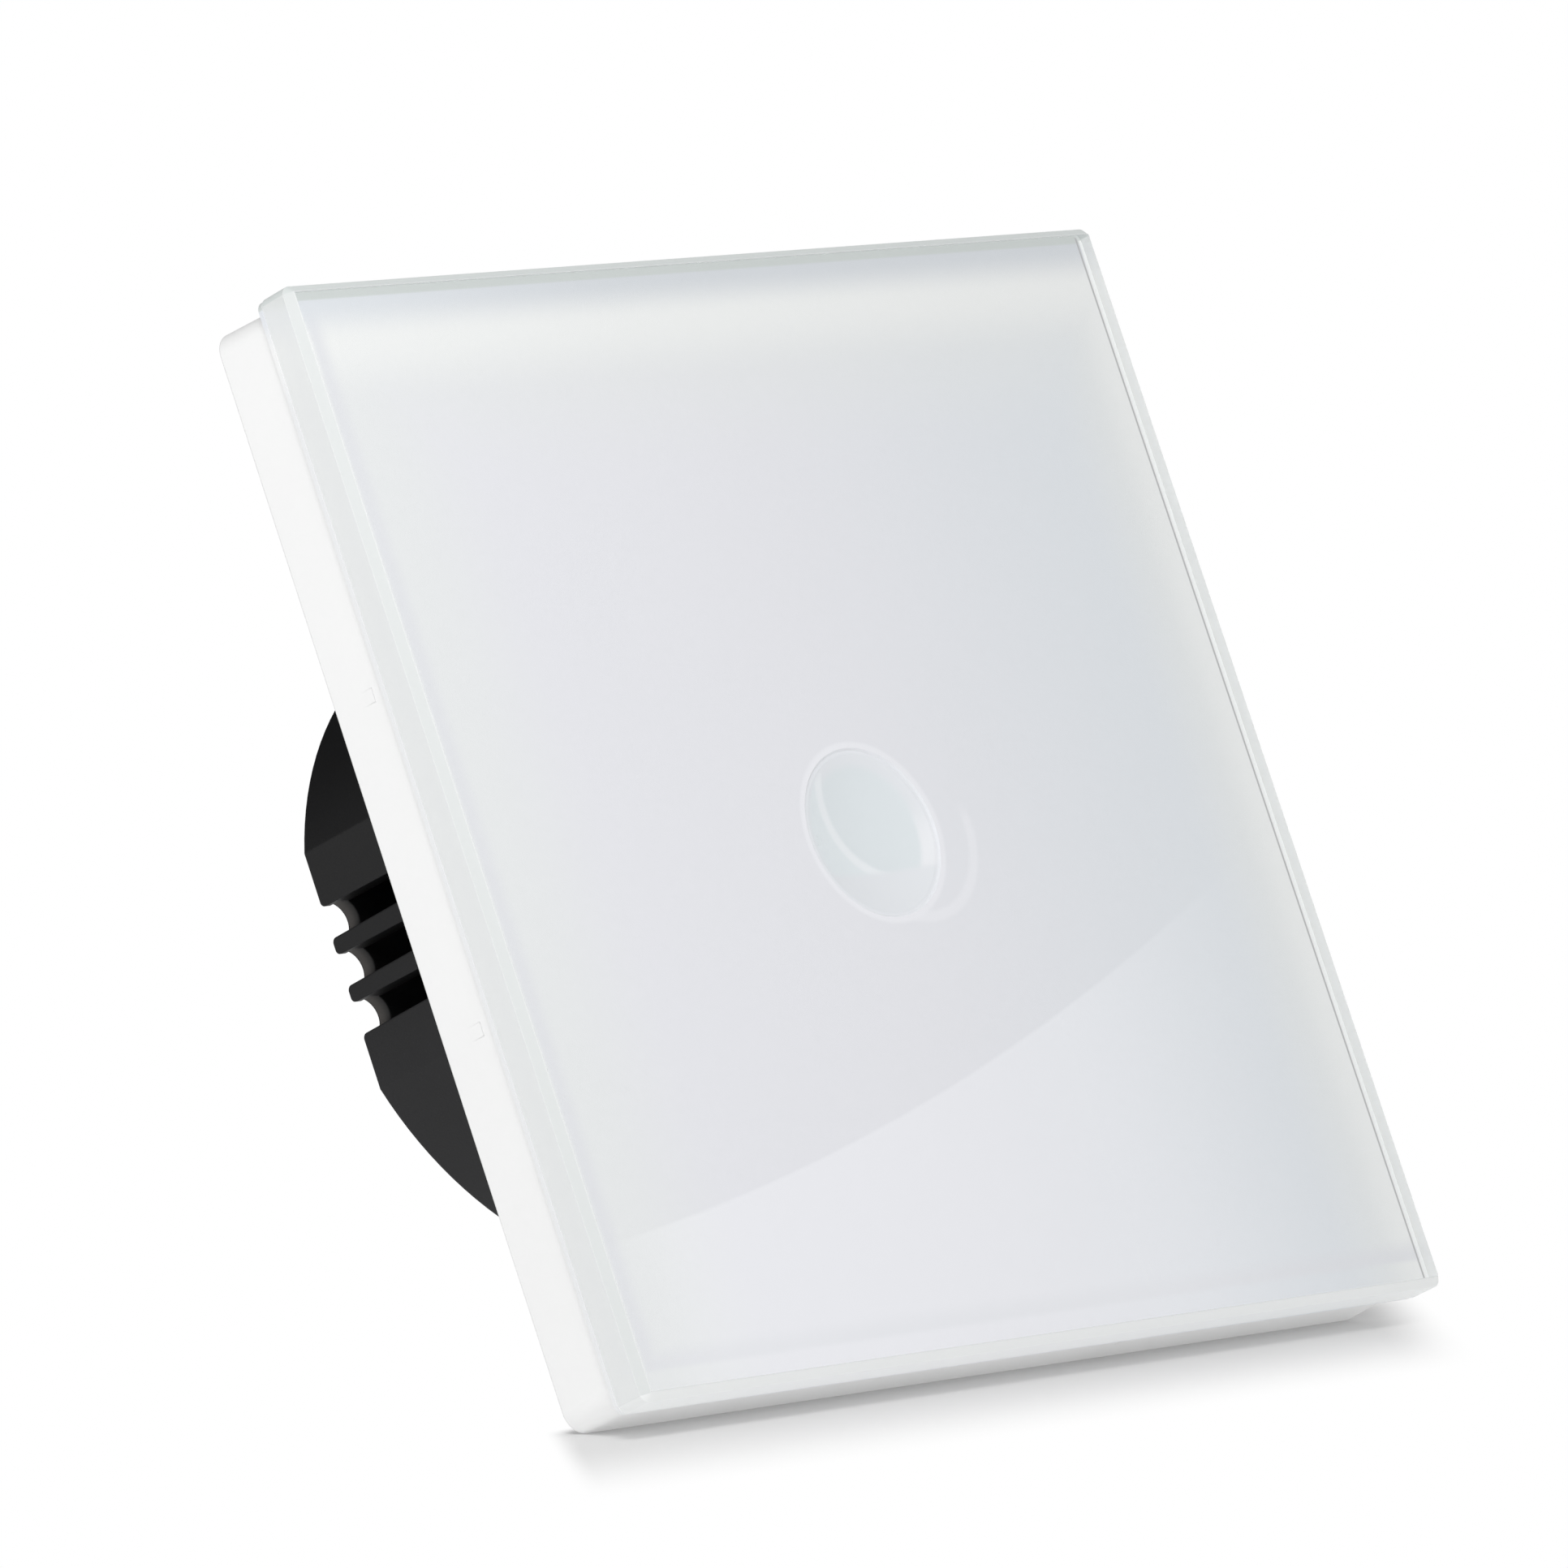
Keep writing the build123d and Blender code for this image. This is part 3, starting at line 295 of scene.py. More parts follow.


# White coat on the back of the glass, with painted light and shade. Each tone stands with the
# pairs of places over which it comes or goes, measured from the middle of the glass.
coatLook = {"color": (0.818, 0.818, 0.857), "cloud": 30 * mm, "shades": (0.985, 1.01), "rough": 0.45,
            "grain": 0.3 * mm, "grainRough": 0.1, "wave": 2.5 * mm, "waveDepth": 0.01 * mm,
            "waveStrength": 0.2,
            # painted shade: darker and cooler towards the right
            "cool": (0.768, 0.797, 0.834), "coolAcross": (-5 * mm, 40 * mm),
            # neutral along the top, the left and the right
            "rim": (0.82, 0.834, 0.835), "rimShare": 0.8, "rimOut": (24 * mm, 36 * mm),
            "rimRight": (31 * mm, 37.5 * mm),
            # lighter where the ground edges throw light on it
            "glow": (0.885, 0.893, 0.89), "glowUp": (31.5 * mm, 36 * mm),
            "glowRight": (35.8 * mm, 39.4 * mm), "glowRightShare": 0.85,
            # painted shade: a greyer line along the left and the foot
            "line": (0.77, 0.775, 0.81), "lineShare": 0.75,
            "lineOut": ((35.8 * mm, 37.3 * mm), (37.4 * mm, 37.9 * mm)),
            # painted shade: a greyer band along the top, a little paler at its left, with a dark upper line
            "band": (0.69, 0.715, 0.75), "bandLeft": 1.08, "bandAcross": (-38 * mm, -4 * mm),
            "bandUp": (36.2 * mm, 39 * mm),
            "topLine": (0.63, 0.665, 0.655), "topLineUp": (39.15 * mm, 39.35 * mm),
            # painted shadow: a dark hairline where the coat ends at the right
            "hairline": (0.5, 0.5, 0.51),
            "hairlineAcross": ((39.5 * mm, 39.56 * mm), (39.66 * mm, 39.72 * mm)),
            # the pale ring round the dish, and beside it a fainter second one, which is painted light
            "ring": (0.88, 0.88, 0.918), "ringShare": 0.9, "ringRadius": 6.35 * mm,
            "ringWidth": 0.45 * mm,
            "second": (3.1 * mm, -2.45 * mm, 6.3 * mm), "secondShare": 0.6, "secondWidth": 0.6 * mm,
            "secondAside": (4 * mm, 9 * mm), "secondDown": (0.5 * mm, 2.5 * mm)}


def sheetFinish():
    look = coatLook
    s = material("sheetFinish")
    x, z = s.along("X"), s.along("Z")
    color = s.clouded(s.noise(look["cloud"], detail=1.0), look["color"], look["shades"])
    # painted shade: darker and cooler towards the right
    color = s.mix(x.rise(*look["coolAcross"]), color, shade(look["cool"]))
    rim = z.larger(-x).rise(*look["rimOut"]).larger(x.rise(*look["rimRight"]))
    color = s.mix(rim * look["rimShare"], color, shade(look["rim"]))
    glow = z.rise(*look["glowUp"]).larger(x.rise(*look["glowRight"]) * look["glowRightShare"])
    color = s.mix(glow, color, shade(look["glow"]))
    # painted shade: the greyer line along the left and the foot
    line = (-z).larger(-x).between(*look["lineOut"])
    color = s.mix(line * look["lineShare"], color, shade(look["line"]))
    # painted shade: the band along the top and its dark upper line
    band = s.mix(x.rise(*look["bandAcross"]), shade(look["band"], look["bandLeft"]), shade(look["band"]))
    color = s.mix(z.rise(*look["bandUp"]), color, band)
    color = s.mix(z.rise(*look["topLineUp"]), color, shade(look["topLine"]))
    # painted shadow: the dark hairline at the right
    color = s.mix(x.between(*look["hairlineAcross"]), color, shade(look["hairline"]))
    ring = s.ring(0, dishDrop, look["ringRadius"], look["ringWidth"])
    color = s.mix(ring * look["ringShare"], color, shade(look["ring"]))
    # painted light: the fainter second ring
    second = s.ring(*look["second"], look["secondWidth"])
    second = second * (x - z).rise(*look["secondAside"]) * (-z).rise(*look["secondDown"])
    color = s.mix(second * look["secondShare"], color, shade(look["ring"]))
    rough = look["rough"] + (s.noise(look["grain"]) - 0.5) * look["grainRough"]
    waves = s.bump(s.noise(look["wave"]), look["waveDepth"], look["waveStrength"])
    return s.finish(s.principled({"Base Color": color, "Roughness": rough, "Normal": waves}))


# Milky lens: painted shade in its dish, and in it a darker window, which is a painted reflection,
# with a straight foot and a curved left side; a painted highlight on a wall of the dish.
# Places are measured from the middle of the dish.
lensLook = {"lip": (0.808, 0.818, 0.856), "cloud": 3 * mm, "shades": (0.985, 1.01), "rough": 0.3,
            "cloudRough": 0.1, "grain": 0.25 * mm, "grainDepth": 0.003 * mm, "grainStrength": 0.2,
            # painted shade in the dish, above its foot
            "dish": (0.797, 0.837, 0.867), "dishReach": (5.3 * mm, 5.9 * mm), "foot": (-3 * mm, -2.4 * mm),
            # the arc at the window's left: its centre, its radius, and the fades outside and inside it
            "arc": (3 * mm, 3 * mm), "arcRadius": 6.5 * mm, "arcOut": (6.5 * mm, 6.9 * mm),
            "arcIn": (6 * mm, 6.5 * mm),
            # painted reflection: the darker window
            "window": (0.765, 0.805, 0.835), "windowReach": (4.6 * mm, 5.4 * mm),
            # painted highlight along the arc
            "line": (0.88, 0.9, 0.93), "lineShare": 0.9, "lineWidth": (0.2 * mm, 0.6 * mm),
            # painted highlight on the wall of the dish
            "wall": (0.885, 0.885, 0.92), "wallReach": (4.5 * mm, 5.1 * mm),
            "wallAcross": (2.9 * mm, 4 * mm), "wallUp": (-1 * mm, 2.4 * mm),
            # painted light: a lighter ring at the lens's border, which hides the dark gap under the sheet's
            # lip
            "ring": (0.872, 0.876, 0.915), "ringShare": 0.65, "ringReach": (5.85 * mm, 6.05 * mm)}


def lensFinish():
    look = lensLook
    s = material("lensFinish")
    x, z = s.along("X"), s.along("Z") - dishDrop
    cloud = s.noise(look["cloud"])
    reach = s.away(0, dishDrop)
    arcX, arcZ = look["arc"]
    arc = s.away(arcX, arcZ + dishDrop)
    above = z.rise(*look["foot"])
    dish = (1 - reach.rise(*look["dishReach"])) * above
    # painted shade in the dish
    color = s.mix(arc.rise(*look["arcOut"]) * dish, shade(look["lip"]), shade(look["dish"]))
    # painted reflection: the window
    window = (1 - arc.rise(*look["arcIn"])) * (1 - reach.rise(*look["windowReach"])) * above
    color = s.mix(window, color, s.clouded(cloud, look["window"], look["shades"]))
    # painted highlight along the arc
    line = (1 - abs(arc - look["arcRadius"]).rise(*look["lineWidth"])) * dish
    color = s.mix(line * look["lineShare"], color, shade(look["line"]))
    # painted highlight on the wall
    wall = reach.rise(*look["wallReach"]) * x.rise(*look["wallAcross"]) * (1 - z.rise(*look["wallUp"]))
    color = s.mix(wall * above, color, shade(look["wall"]))
    # painted light at the lens's border
    color = s.mix(reach.rise(*look["ringReach"]) * look["ringShare"], color, shade(look["ring"]))
    rough = look["rough"] + (cloud - 0.5) * look["cloudRough"]
    grain = s.bump(s.noise(look["grain"]), look["grainDepth"], look["grainStrength"])
    return s.finish(s.principled({"Base Color": color, "Roughness": rough, "Normal": grain}))


# Circuit board: green mask with copper runs under it.
boardLook = {"mask": (0.012, 0.105, 0.045), "overCopper": (0.03, 0.2, 0.08), "cell": 3.2 * mm, "uneven": 0.35,
             "run": (0.05, 0.09), "runDepth": 0.03 * mm, "runStrength": 0.5, "grain": 0.3 * mm,
             "grainShare": 0.2,
             "cloud": 2 * mm, "rough": 0.3, "cloudRough": 0.15, "varnish": 0.4}


def boardFinish():
    look = boardLook
    s = material("boardFinish")
    cell = s.add("ShaderNodeTexVoronoi", {"feature": "DISTANCE_TO_EDGE", "voronoi_dimensions": "3D"},
                 {"Vector": s.stretched(onWall), "Scale": 1 / look["cell"], "Randomness": look["uneven"]})
    run = 1 - cell.rise(*look["run"])
    height = run + s.noise(look["grain"]) * look["grainShare"]
    return s.finish(s.principled({"Base Color": s.mix(run, shade(look["mask"]), shade(look["overCopper"])),
                                  "Roughness": look["rough"] + s.noise(look["cloud"]) * look["cloudRough"],
                                  "Normal": s.bump(height, look["runDepth"], look["runStrength"]),
                                  "Coat Weight": look["varnish"]}))


# Enamelled wire laid in turns: a fine ripple along the winding.
enamelLook = {"dark": (0.42, 0.13, 0.05), "light": (0.62, 0.23, 0.1), "lay": 0.6 * mm,
              "stretch": (1.0, 5.0, 1.0), "metal": 0.85, "rough": 0.3, "layRough": 0.15,
              "layDepth": 0.01 * mm, "layStrength": 0.4, "enamel": 0.5}


def wireFinish():
    look = enamelLook
    s = material("wireFinish")
    lay = s.noise(look["lay"], stretch=look["stretch"])
    return s.finish(s.principled({"Base Color": s.mix(lay, shade(look["dark"]), shade(look["light"])),
                                  "Metallic": look["metal"],
                                  "Roughness": look["rough"] + lay * look["layRough"],
                                  "Normal": s.bump(lay, look["layDepth"], look["layStrength"]),
                                  "Coat Weight": look["enamel"]}))


# A body with a metal cap above one place along an axis, and perhaps another below a second.
cappedPlain = {"below": None, "soft": 0.05 * mm, "cloud": 1.2 * mm, "shades": (0.93, 1.05), "rough": 0.3,
               "cloudRough": 0.15, "grain": 0.2 * mm, "grainDepth": 0.004 * mm, "grainStrength": 0.4}


def capped(name, changes):
    look = {**cappedPlain, **changes}
    s = material(name)
    at = s.along(look["axis"])
    cap = at.rise(look["above"], look["above"] + look["soft"])
    if look["below"] is not None:
        cap = cap + (1 - at.rise(look["below"], look["below"] + look["soft"]))
    cloud = s.noise(look["cloud"])
    body, metalCap = (s.clouded(cloud, look[part], look["shades"]) for part in ("body", "cap"))
    grain = s.bump(s.noise(look["grain"]), look["grainDepth"], look["grainStrength"])
    return s.finish(s.principled({"Base Color": s.mix(cap, body, metalCap), "Metallic": cap,
                                  "Roughness": look["rough"] + cloud * look["cloudRough"],
                                  "Normal": grain}))


mouldedLooks = {
    "white_plastic": {"color": (0.9, 0.902, 0.9), "vary": 0.012, "rough": 0.42, "grainDepth": 0.004 * mm,
                      "grain": 0.15 * mm, "edge": 0.12 * mm},
    "black_plastic": {"color": (0.0055, 0.0055, 0.006), "vary": 0.12, "rough": 0.55,
                      "grainDepth": 0.012 * mm, "grain": 0.16 * mm, "edge": 0.22 * mm, "gloss": 0.27,
                      "tones": toneHousing},
    "terminal_plastic": {"color": (0.26, 0.27, 0.28), "vary": 0.05, "rough": 0.5, "grainDepth": 0.008 * mm},
    "foam": {"color": (0.03, 0.03, 0.03), "vary": 0.3, "rough": 0.9, "grainDepth": 0.12 * mm,
             "grain": 0.25 * mm, "cloud": 0.6 * mm},
    "lamp": {"color": (0.72, 0.77, 0.86), "vary": 0.05, "rough": 0.15, "grainDepth": 0.002 * mm,
             "cloud": 1 * mm},
    "chip": {"color": (0.022, 0.022, 0.022), "vary": 0.15, "rough": 0.5, "grainDepth": 0.01 * mm,
             "cloud": 2 * mm},
    "ferrite": {"color": (0.05, 0.05, 0.052), "vary": 0.2, "rough": 0.55, "grainDepth": 0.01 * mm,
                "cloud": 2 * mm},
    "relay_blue": {"color": (0.02, 0.09, 0.32), "vary": 0.06, "rough": 0.35, "grainDepth": 0.004 * mm},
    "bobbin": {"color": (0.7, 0.68, 0.6), "vary": 0.05, "rough": 0.4, "grainDepth": 0.004 * mm},
    "film_yellow": {"color": (0.72, 0.5, 0.06), "vary": 0.04, "rough": 0.3, "grainDepth": 0.004 * mm},
    "disc_lacquer": {"color": (0.02, 0.12, 0.35), "vary": 0.1, "rough": 0.3, "grainDepth": 0.03 * mm,
                     "grain": 0.8 * mm},
}
metalLooks = {
    "plate_steel": {"color": (0.62, 0.64, 0.65), "vary": 0.09, "rough": 0.48, "uneven": 0.06,
                    "flower": 2.4 * mm},
    "screw_steel": {"color": (0.64, 0.64, 0.62), "vary": 0.08, "rough": 0.3, "patch": 0.8 * mm},
    "brass": {"color": (0.72, 0.52, 0.22), "vary": 0.08, "rough": 0.28, "patch": 1.5 * mm},
    "iron": {"color": (0.5, 0.5, 0.49), "vary": 0.08, "rough": 0.32, "patch": 2 * mm},
}
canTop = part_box("reservoir_capacitor")[1].y
fuseLow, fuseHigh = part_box("fuse")
fuseCap = 1.6 * mm
cappedLooks = {
    "can_sleeve": {"axis": "Y", "above": canTop - 0.1 * mm, "body": (0.02, 0.03, 0.06),
                   "cap": (0.7, 0.71, 0.72)},
    "fuse_body": {"axis": "X", "above": fuseHigh.x - fuseCap, "below": fuseLow.x + fuseCap,
                  "body": (0.82, 0.78, 0.7), "cap": (0.66, 0.66, 0.64)},
}
finishes = {}
for make, looks in ((moulded, mouldedLooks), (metal, metalLooks), (capped, cappedLooks)):
    finishes.update({slot: make(slot + "Finish", look) for slot, look in looks.items()})
finishes["clear_glass"] = glassFinish()
finishes["white_sheet"] = sheetFinish()
finishes["milky_lens"] = lensFinish()
finishes["board"] = boardFinish()
finishes["copper_wire"] = wireFinish()

for node in nodes.values():
    slot = node.data.materials[0].name
    node.data.materials[0] = finishes[slot]
print("finishes set on the frame's nodes")


def addObject(name, data):
    made = bpy.data.objects.new(name, data)
    scene.collection.objects.link(made)
    return made


# Turns a bmesh into mesh data, and frees it.
def settle(name, mesh):
    data = bpy.data.meshes.new(name)
    mesh.to_mesh(data)
    mesh.free()
    return data


weld = 0.0005 * mm  # points closer than this become one
creaseAngle = math.radians(40)  # edges sharper than this stay sharp


# A mesh object from bmesh, riding on its body.
def piece(name, mesh, slot, body, replaced=()):
    bmesh.ops.remove_doubles(mesh, verts=mesh.verts, dist=weld)
    bmesh.ops.recalc_face_normals(mesh, faces=mesh.faces)
    data = settle(name, mesh)
    data.materials.append(finishes[slot])
    made = addObject(name, data)
    data.shade_smooth()
    data.set_sharp_from_angle(angle=creaseAngle)
    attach(made, body)
    if replaced:
        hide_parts(*replaced)


# Faces between two rings of vertices.
def joinRings(mesh, low, high):
    for k in range(len(low)):
        j = (k + 1) % len(low)
        mesh.faces.new((low[k], low[j], high[j], high[k]))


# Rings of points joined by faces. The ends are capped, or joined to each other round a hollow.
def skin(mesh, rings, hollow=False):
    made = [[mesh.verts.new(p) for p in ring] for ring in rings]
    for low, high in zip(made, made[1:]):
        joinRings(mesh, low, high)
    if hollow:
        joinRings(mesh, made[0], made[-1])
    else:
        mesh.faces.new(made[0])
        mesh.faces.new(made[-1])


def circle(x, z, radius, y, count):
    return [Vector((x + radius * math.cos(2 * math.pi * k / count), y,
                    z + radius * math.sin(2 * math.pi * k / count))) for k in range(count)]


cornerSteps = 6  # along one rounded corner


# Points of a rounded oblong in the plane of the wall, at depth y.
def roundedOblong(x, z, halfX, halfZ, corner, y):
    points = []
    for right, up, start in ((1, 1, 0), (-1, 1, 90), (-1, -1, 180), (1, -1, 270)):
        for k in range(cornerSteps + 1):
            a = math.radians(start + 90 * k / cornerSteps)
            points.append(Vector((x + (halfX - corner) * right + corner * math.cos(a), y,
                                  z + (halfZ - corner) * up + corner * math.sin(a))))
    return points


# Backing sheet: a thin white square with a round hole. It wets the glass, so its front lies a
# hair inside the glass, with no air between them. The hole has a lip at the front, which laps
# over the edge of the lens.
sheetLook = {"half": 39.93 * mm, "corner": 0.75 * mm, "hole": 6.4 * mm, "mouth": 6.2 * mm,
             "lipFoot": 6.05 * mm, "around": 96, "front": -5.32 * mm, "step": -5.14 * mm, "back": -5.0 * mm}


def backingSheet():
    look = sheetLook
    mesh = bmesh.new()

    def hole(radius, y):
        return [mesh.verts.new(p) for p in circle(0, dishDrop, radius, y, look["around"])]

    def face(radius, y):
        square = roundedOblong(0, 0, look["half"], look["half"], look["corner"], y)
        outer, inner = [mesh.verts.new(p) for p in square], hole(radius, y)
        edges = [mesh.edges.new((r[k], r[(k + 1) % len(r)])) for r in (outer, inner) for k in range(len(r))]
        bmesh.ops.triangle_fill(mesh, use_beauty=True, edges=edges)
        return outer, inner

    outerFront, mouth = face(look["mouth"], look["front"])
    outerBack, inner = face(look["hole"], look["back"])
    foot, step = hole(look["lipFoot"], look["step"]), hole(look["hole"], look["step"])
    for front, back in ((outerFront, outerBack), (mouth, foot), (foot, step), (step, inner)):
        joinRings(mesh, front, back)
    piece("backingSheet", mesh, "white_sheet", "glass_front", ["backing_sheet"])


backingSheet()

# Screws: a shank with a real thread, a chamfered head and the driver's recess.
housingScrewLook = {"thread": 1.0 * mm, "root": 0.8 * mm, "pitch": 0.4 * mm, "head": 1.9 * mm,
                    "headHeight": 1.2 * mm, "recess": 0.7 * mm, "recessWidth": 0.5 * mm,
                    "recessLength": 2.2 * mm, "cross": True}
clampScrewLook = {"thread": 1.5 * mm, "root": 1.22 * mm, "pitch": 0.5 * mm, "head": 2.2 * mm,
                  "headHeight": 1.3 * mm, "recess": 0.7 * mm, "recessWidth": 0.6 * mm,
                  "recessLength": 4.6 * mm, "cross": False}
screwMesh = {"around": 28, "perTurn": 7, "headAround": 48,
             "runOut": 1.2,  # turns over which the thread fades at the tip
             "leastThread": 0.15,  # what is left of it there
             "chamfer": 1 / 3,  # share of the head's height
             "shoulder": 0.96}  # share of the head's radius halfway up the chamfer


def shank(mesh, look, x, z, seat, tip):
    turns = abs(tip - seat) / look["pitch"]
    steps = int(turns * screwMesh["perTurn"])
    rings = []
    for k in range(steps + 1):
        share = k / steps
        height = min(1.0, (1 - share) * turns / screwMesh["runOut"] + screwMesh["leastThread"])
        height = height * (look["thread"] - look["root"]) if k < steps else 0.0  # the tip is plain
        ring = []
        for j in range(screwMesh["around"]):
            way = j / screwMesh["around"]
            radius = look["root"] + height * abs(((share * turns - way) % 1.0) * 2 - 1)
            a = 2 * math.pi * way
            ring.append(Vector((x + radius * math.cos(a), seat + (tip - seat) * share,
                                z + radius * math.sin(a))))
        rings.append(ring)
    skin(mesh, rings)


# A flat seat, side, chamfer and face, cut by the recess.
def screwHead(mesh, look, x, z, outer, toTip):
    seat = outer + toTip * look["headHeight"]
    tall, edge = look["headHeight"], look["headHeight"] * screwMesh["chamfer"]
    outline = ((1.0, 0.0), (1.0, tall - edge), (screwMesh["shoulder"], tall - edge / 2),
               (1 - edge / look["head"], tall))
    head = bmesh.new()
    skin(head, [circle(x, z, look["head"] * share, seat - toTip * rise, screwMesh["headAround"])
                for share, rise in outline])
    bmesh.ops.recalc_face_normals(head, faces=head.faces)
    body = addObject("head", settle("head", head))
    slots = [(look["recessLength"], look["recessWidth"])]
    if look["cross"]:
        slots.append((look["recessWidth"], look["recessLength"]))
    cutters = []
    for wide, high in slots:
        cut = bmesh.new()
        bmesh.ops.create_cube(cut, size=1)
        for v in cut.verts:
            v.co = Vector((x + v.co.x * wide, outer + v.co.y * 2 * look["recess"], z + v.co.z * high))
        cutter = addObject("recess", settle("recess", cut))
        boolean = body.modifiers.new("recess", "BOOLEAN")
        boolean.operation = "DIFFERENCE"
        boolean.solver = "EXACT"
        boolean.object = cutter
        cutters.append(cutter)
    bpy.context.view_layer.update()
    mesh.from_mesh(body.evaluated_get(bpy.context.evaluated_depsgraph_get()).to_mesh())
    for used in [body, *cutters]:
        bpy.data.objects.remove(used)


# y runs from the head's outer face to the tip.
def screwInto(mesh, look, x, z, outer, tip):
    toTip = 1 if tip > outer else -1
    shank(mesh, look, x, z, outer + toTip * look["headHeight"], tip)
    screwHead(mesh, look, x, z, outer, toTip)


def housingScrews():
    mesh = bmesh.new()
    low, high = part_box("housing_screws")
    middle = (low + high) / 2
    across, up = high.x - housingScrewLook["head"], high.z - housingScrewLook["head"] - middle.z
    for right, above in ((-1, -1), (-1, 1), (1, -1), (1, 1)):
        screwInto(mesh, housingScrewLook, right * across, middle.z + above * up, low.y, high.y)
    piece("housingScrews", mesh, "screw_steel", "module", ["housing_screws"])


def clampScrew(number):
    mesh = bmesh.new()
    low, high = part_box(f"terminal_screw_{number}")
    middle = (low + high) / 2
    screwInto(mesh, clampScrewLook, middle.x, middle.z, high.y, low.y)
    piece(f"clampScrew{number}", mesh, "screw_steel", f"screw_{number}", [f"terminal_screw_{number}"])


housingScrews()
for number in (1, 2, 3):
    clampScrew(number)
print("screws cut")

# Coil of the relay, round its former, and winding of the transformer, round the middle limb of
# its core: turns of enamelled wire, closed on the inside.
coilLook = {"wire": 0.28 * mm, "inner": 1.95 * mm, "outer": 3.3 * mm, "around": 40}
windingLook = {"wire": 0.32 * mm, "limbX": 1.16 * mm, "limbZ": 2.26 * mm, "limbCorner": 0.02 * mm,
               "corner": 2.2 * mm}
perWire = 4  # steps across one wire


# inner(y) gives the ring round the former, outer(dip, y) the one round the wire, set in by dip.
def winding(name, node, wire, inner, outer):
    low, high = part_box(node)
    turns = int((high.y - low.y) / wire)
    wire = (high.y - low.y) / turns
    rings = [inner(low.y)]
    for k in range(turns):
        for j in range(perWire + 1):
            dip = wire / 2 * (1 - math.sin(math.pi * j / perWire))
            rings.append(outer(dip, low.y + (k + j / perWire) * wire))
    rings.append(inner(high.y))
    mesh = bmesh.new()
    skin(mesh, rings, hollow=True)
    piece(name, mesh, "copper_wire", "module", [node])


def coilWinding():
    look = coilLook
    low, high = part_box("coil_winding")
    middle = (low + high) / 2

    def inner(y):
        return circle(middle.x, middle.z, look["inner"], y, look["around"])

    def outer(dip, y):
        return circle(middle.x, middle.z, look["outer"] - dip, y, look["around"])

    winding("coilWinding", "coil_winding", look["wire"], inner, outer)


def transformerCoil():
    look = windingLook
    low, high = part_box("transformer_coil")
    middle, half = (low + high) / 2, (high - low) / 2

    def inner(y):
        return roundedOblong(middle.x, middle.z, look["limbX"], look["limbZ"], look["limbCorner"], y)

    def outer(dip, y):
        return roundedOblong(middle.x, middle.z, half.x - dip, half.z - dip, look["corner"] - dip, y)

    winding("transformerCoil", "transformer_coil", look["wire"], inner, outer)


coilWinding()
transformerCoil()
print("windings laid")

# Solder joints where the parts' legs come through the front of the power board. The outline
# gives shares of the radius and of the height, from the foot to the top of the leg.
solderLook = {"radius": 0.85 * mm, "height": 0.75 * mm, "sunk": 0.01 * mm, "around": 18,
              "outline": ((1.0, 0.0), (0.72, 0.28), (0.48, 0.62), (0.36, 0.86), (0.33, 1.0), (0.2, 1.06)),
              "places": ((-8.0, 11.8), (-1.6, 13.6), (7.0, 11.8), (-15.0, 3.2), (-8.2, 3.2), (-15.0, -5.2),
                         (-8.2, -5.2), (-0.4, 3.4), (-0.4, -6.2), (7.1, -1.6), (10.1, -1.6), (16.2, -0.7),
                         (16.2, 2.7), (5.8, -8.6), (13.2, -8.6), (-6.4, -11.8), (0.0, -11.8), (6.4, -11.8))}


def solderJoints():
    look = solderLook
    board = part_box("power_board")[0].y
    mesh = bmesh.new()
    for x, z in look["places"]:
        rings = []
        for share, tall in look["outline"]:
            y = board - look["height"] * tall + (look["sunk"] if tall == 0 else 0.0)
            rings.append(circle(x * mm, z * mm, look["radius"] * share, y, look["around"]))
        skin(mesh, rings)
    piece("solderJoints", mesh, "screw_steel", "module")


solderJoints()
print("solder joints made")

# Soft dome with more light from the front and a little above left. What the camera, mirrors and
# glass see of it is plain white.
domeLook = {"base": 0.62, "lift": 0.32, "spread": 1.6, "from": (-0.25, -0.9, 0.1), "white": 1.0,
            "firstBounce": (0.2, 0.8)}


def dome():
    look = domeLook
    world = bpy.data.worlds.new("studioDome")
    scene.world = world
    s = Sheet(world, "ShaderNodeOutputWorld")
    depth = s.add("ShaderNodeLightPath", out="Diffuse Depth")
    seen = s.ray("Camera", "Glossy", "Transmission") * (1 - depth.rise(*look["firstBounce"]))
    toward = s.add("ShaderNodeVectorMath", {"operation": "DOT_PRODUCT"},
                   {0: s.add("ShaderNodeTexCoord", out="Generated"), 1: Vector(look["from"]).normalized()},
                   out="Value")
    level = look["base"] + toward.larger(0.0).power(look["spread"]) * look["lift"]
    light = s.light(level, "ShaderNodeBackground")
    s.finish(s.blend(seen, light, s.light(look["white"], "ShaderNodeBackground")))


dome()


# A flat or bent sheet of the studio, which isn't part of the object.
def stageSheet(name, points, faces, finish):
    data = bpy.data.meshes.new(name)
    data.from_pydata(points, [], faces)
    data.materials.append(finish)
    made = addObject(name, data)
    return made


def onlyMirrored(made):
    made.visible_camera = made.visible_diffuse = made.visible_shadow = made.visible_transmission = False


# Puts an object at its place, turned towards a point.
def aim(made, place, target):
    made.location = place
    made.rotation_euler = (Vector(target) - made.location).to_track_quat("-Z", "Y").to_euler()


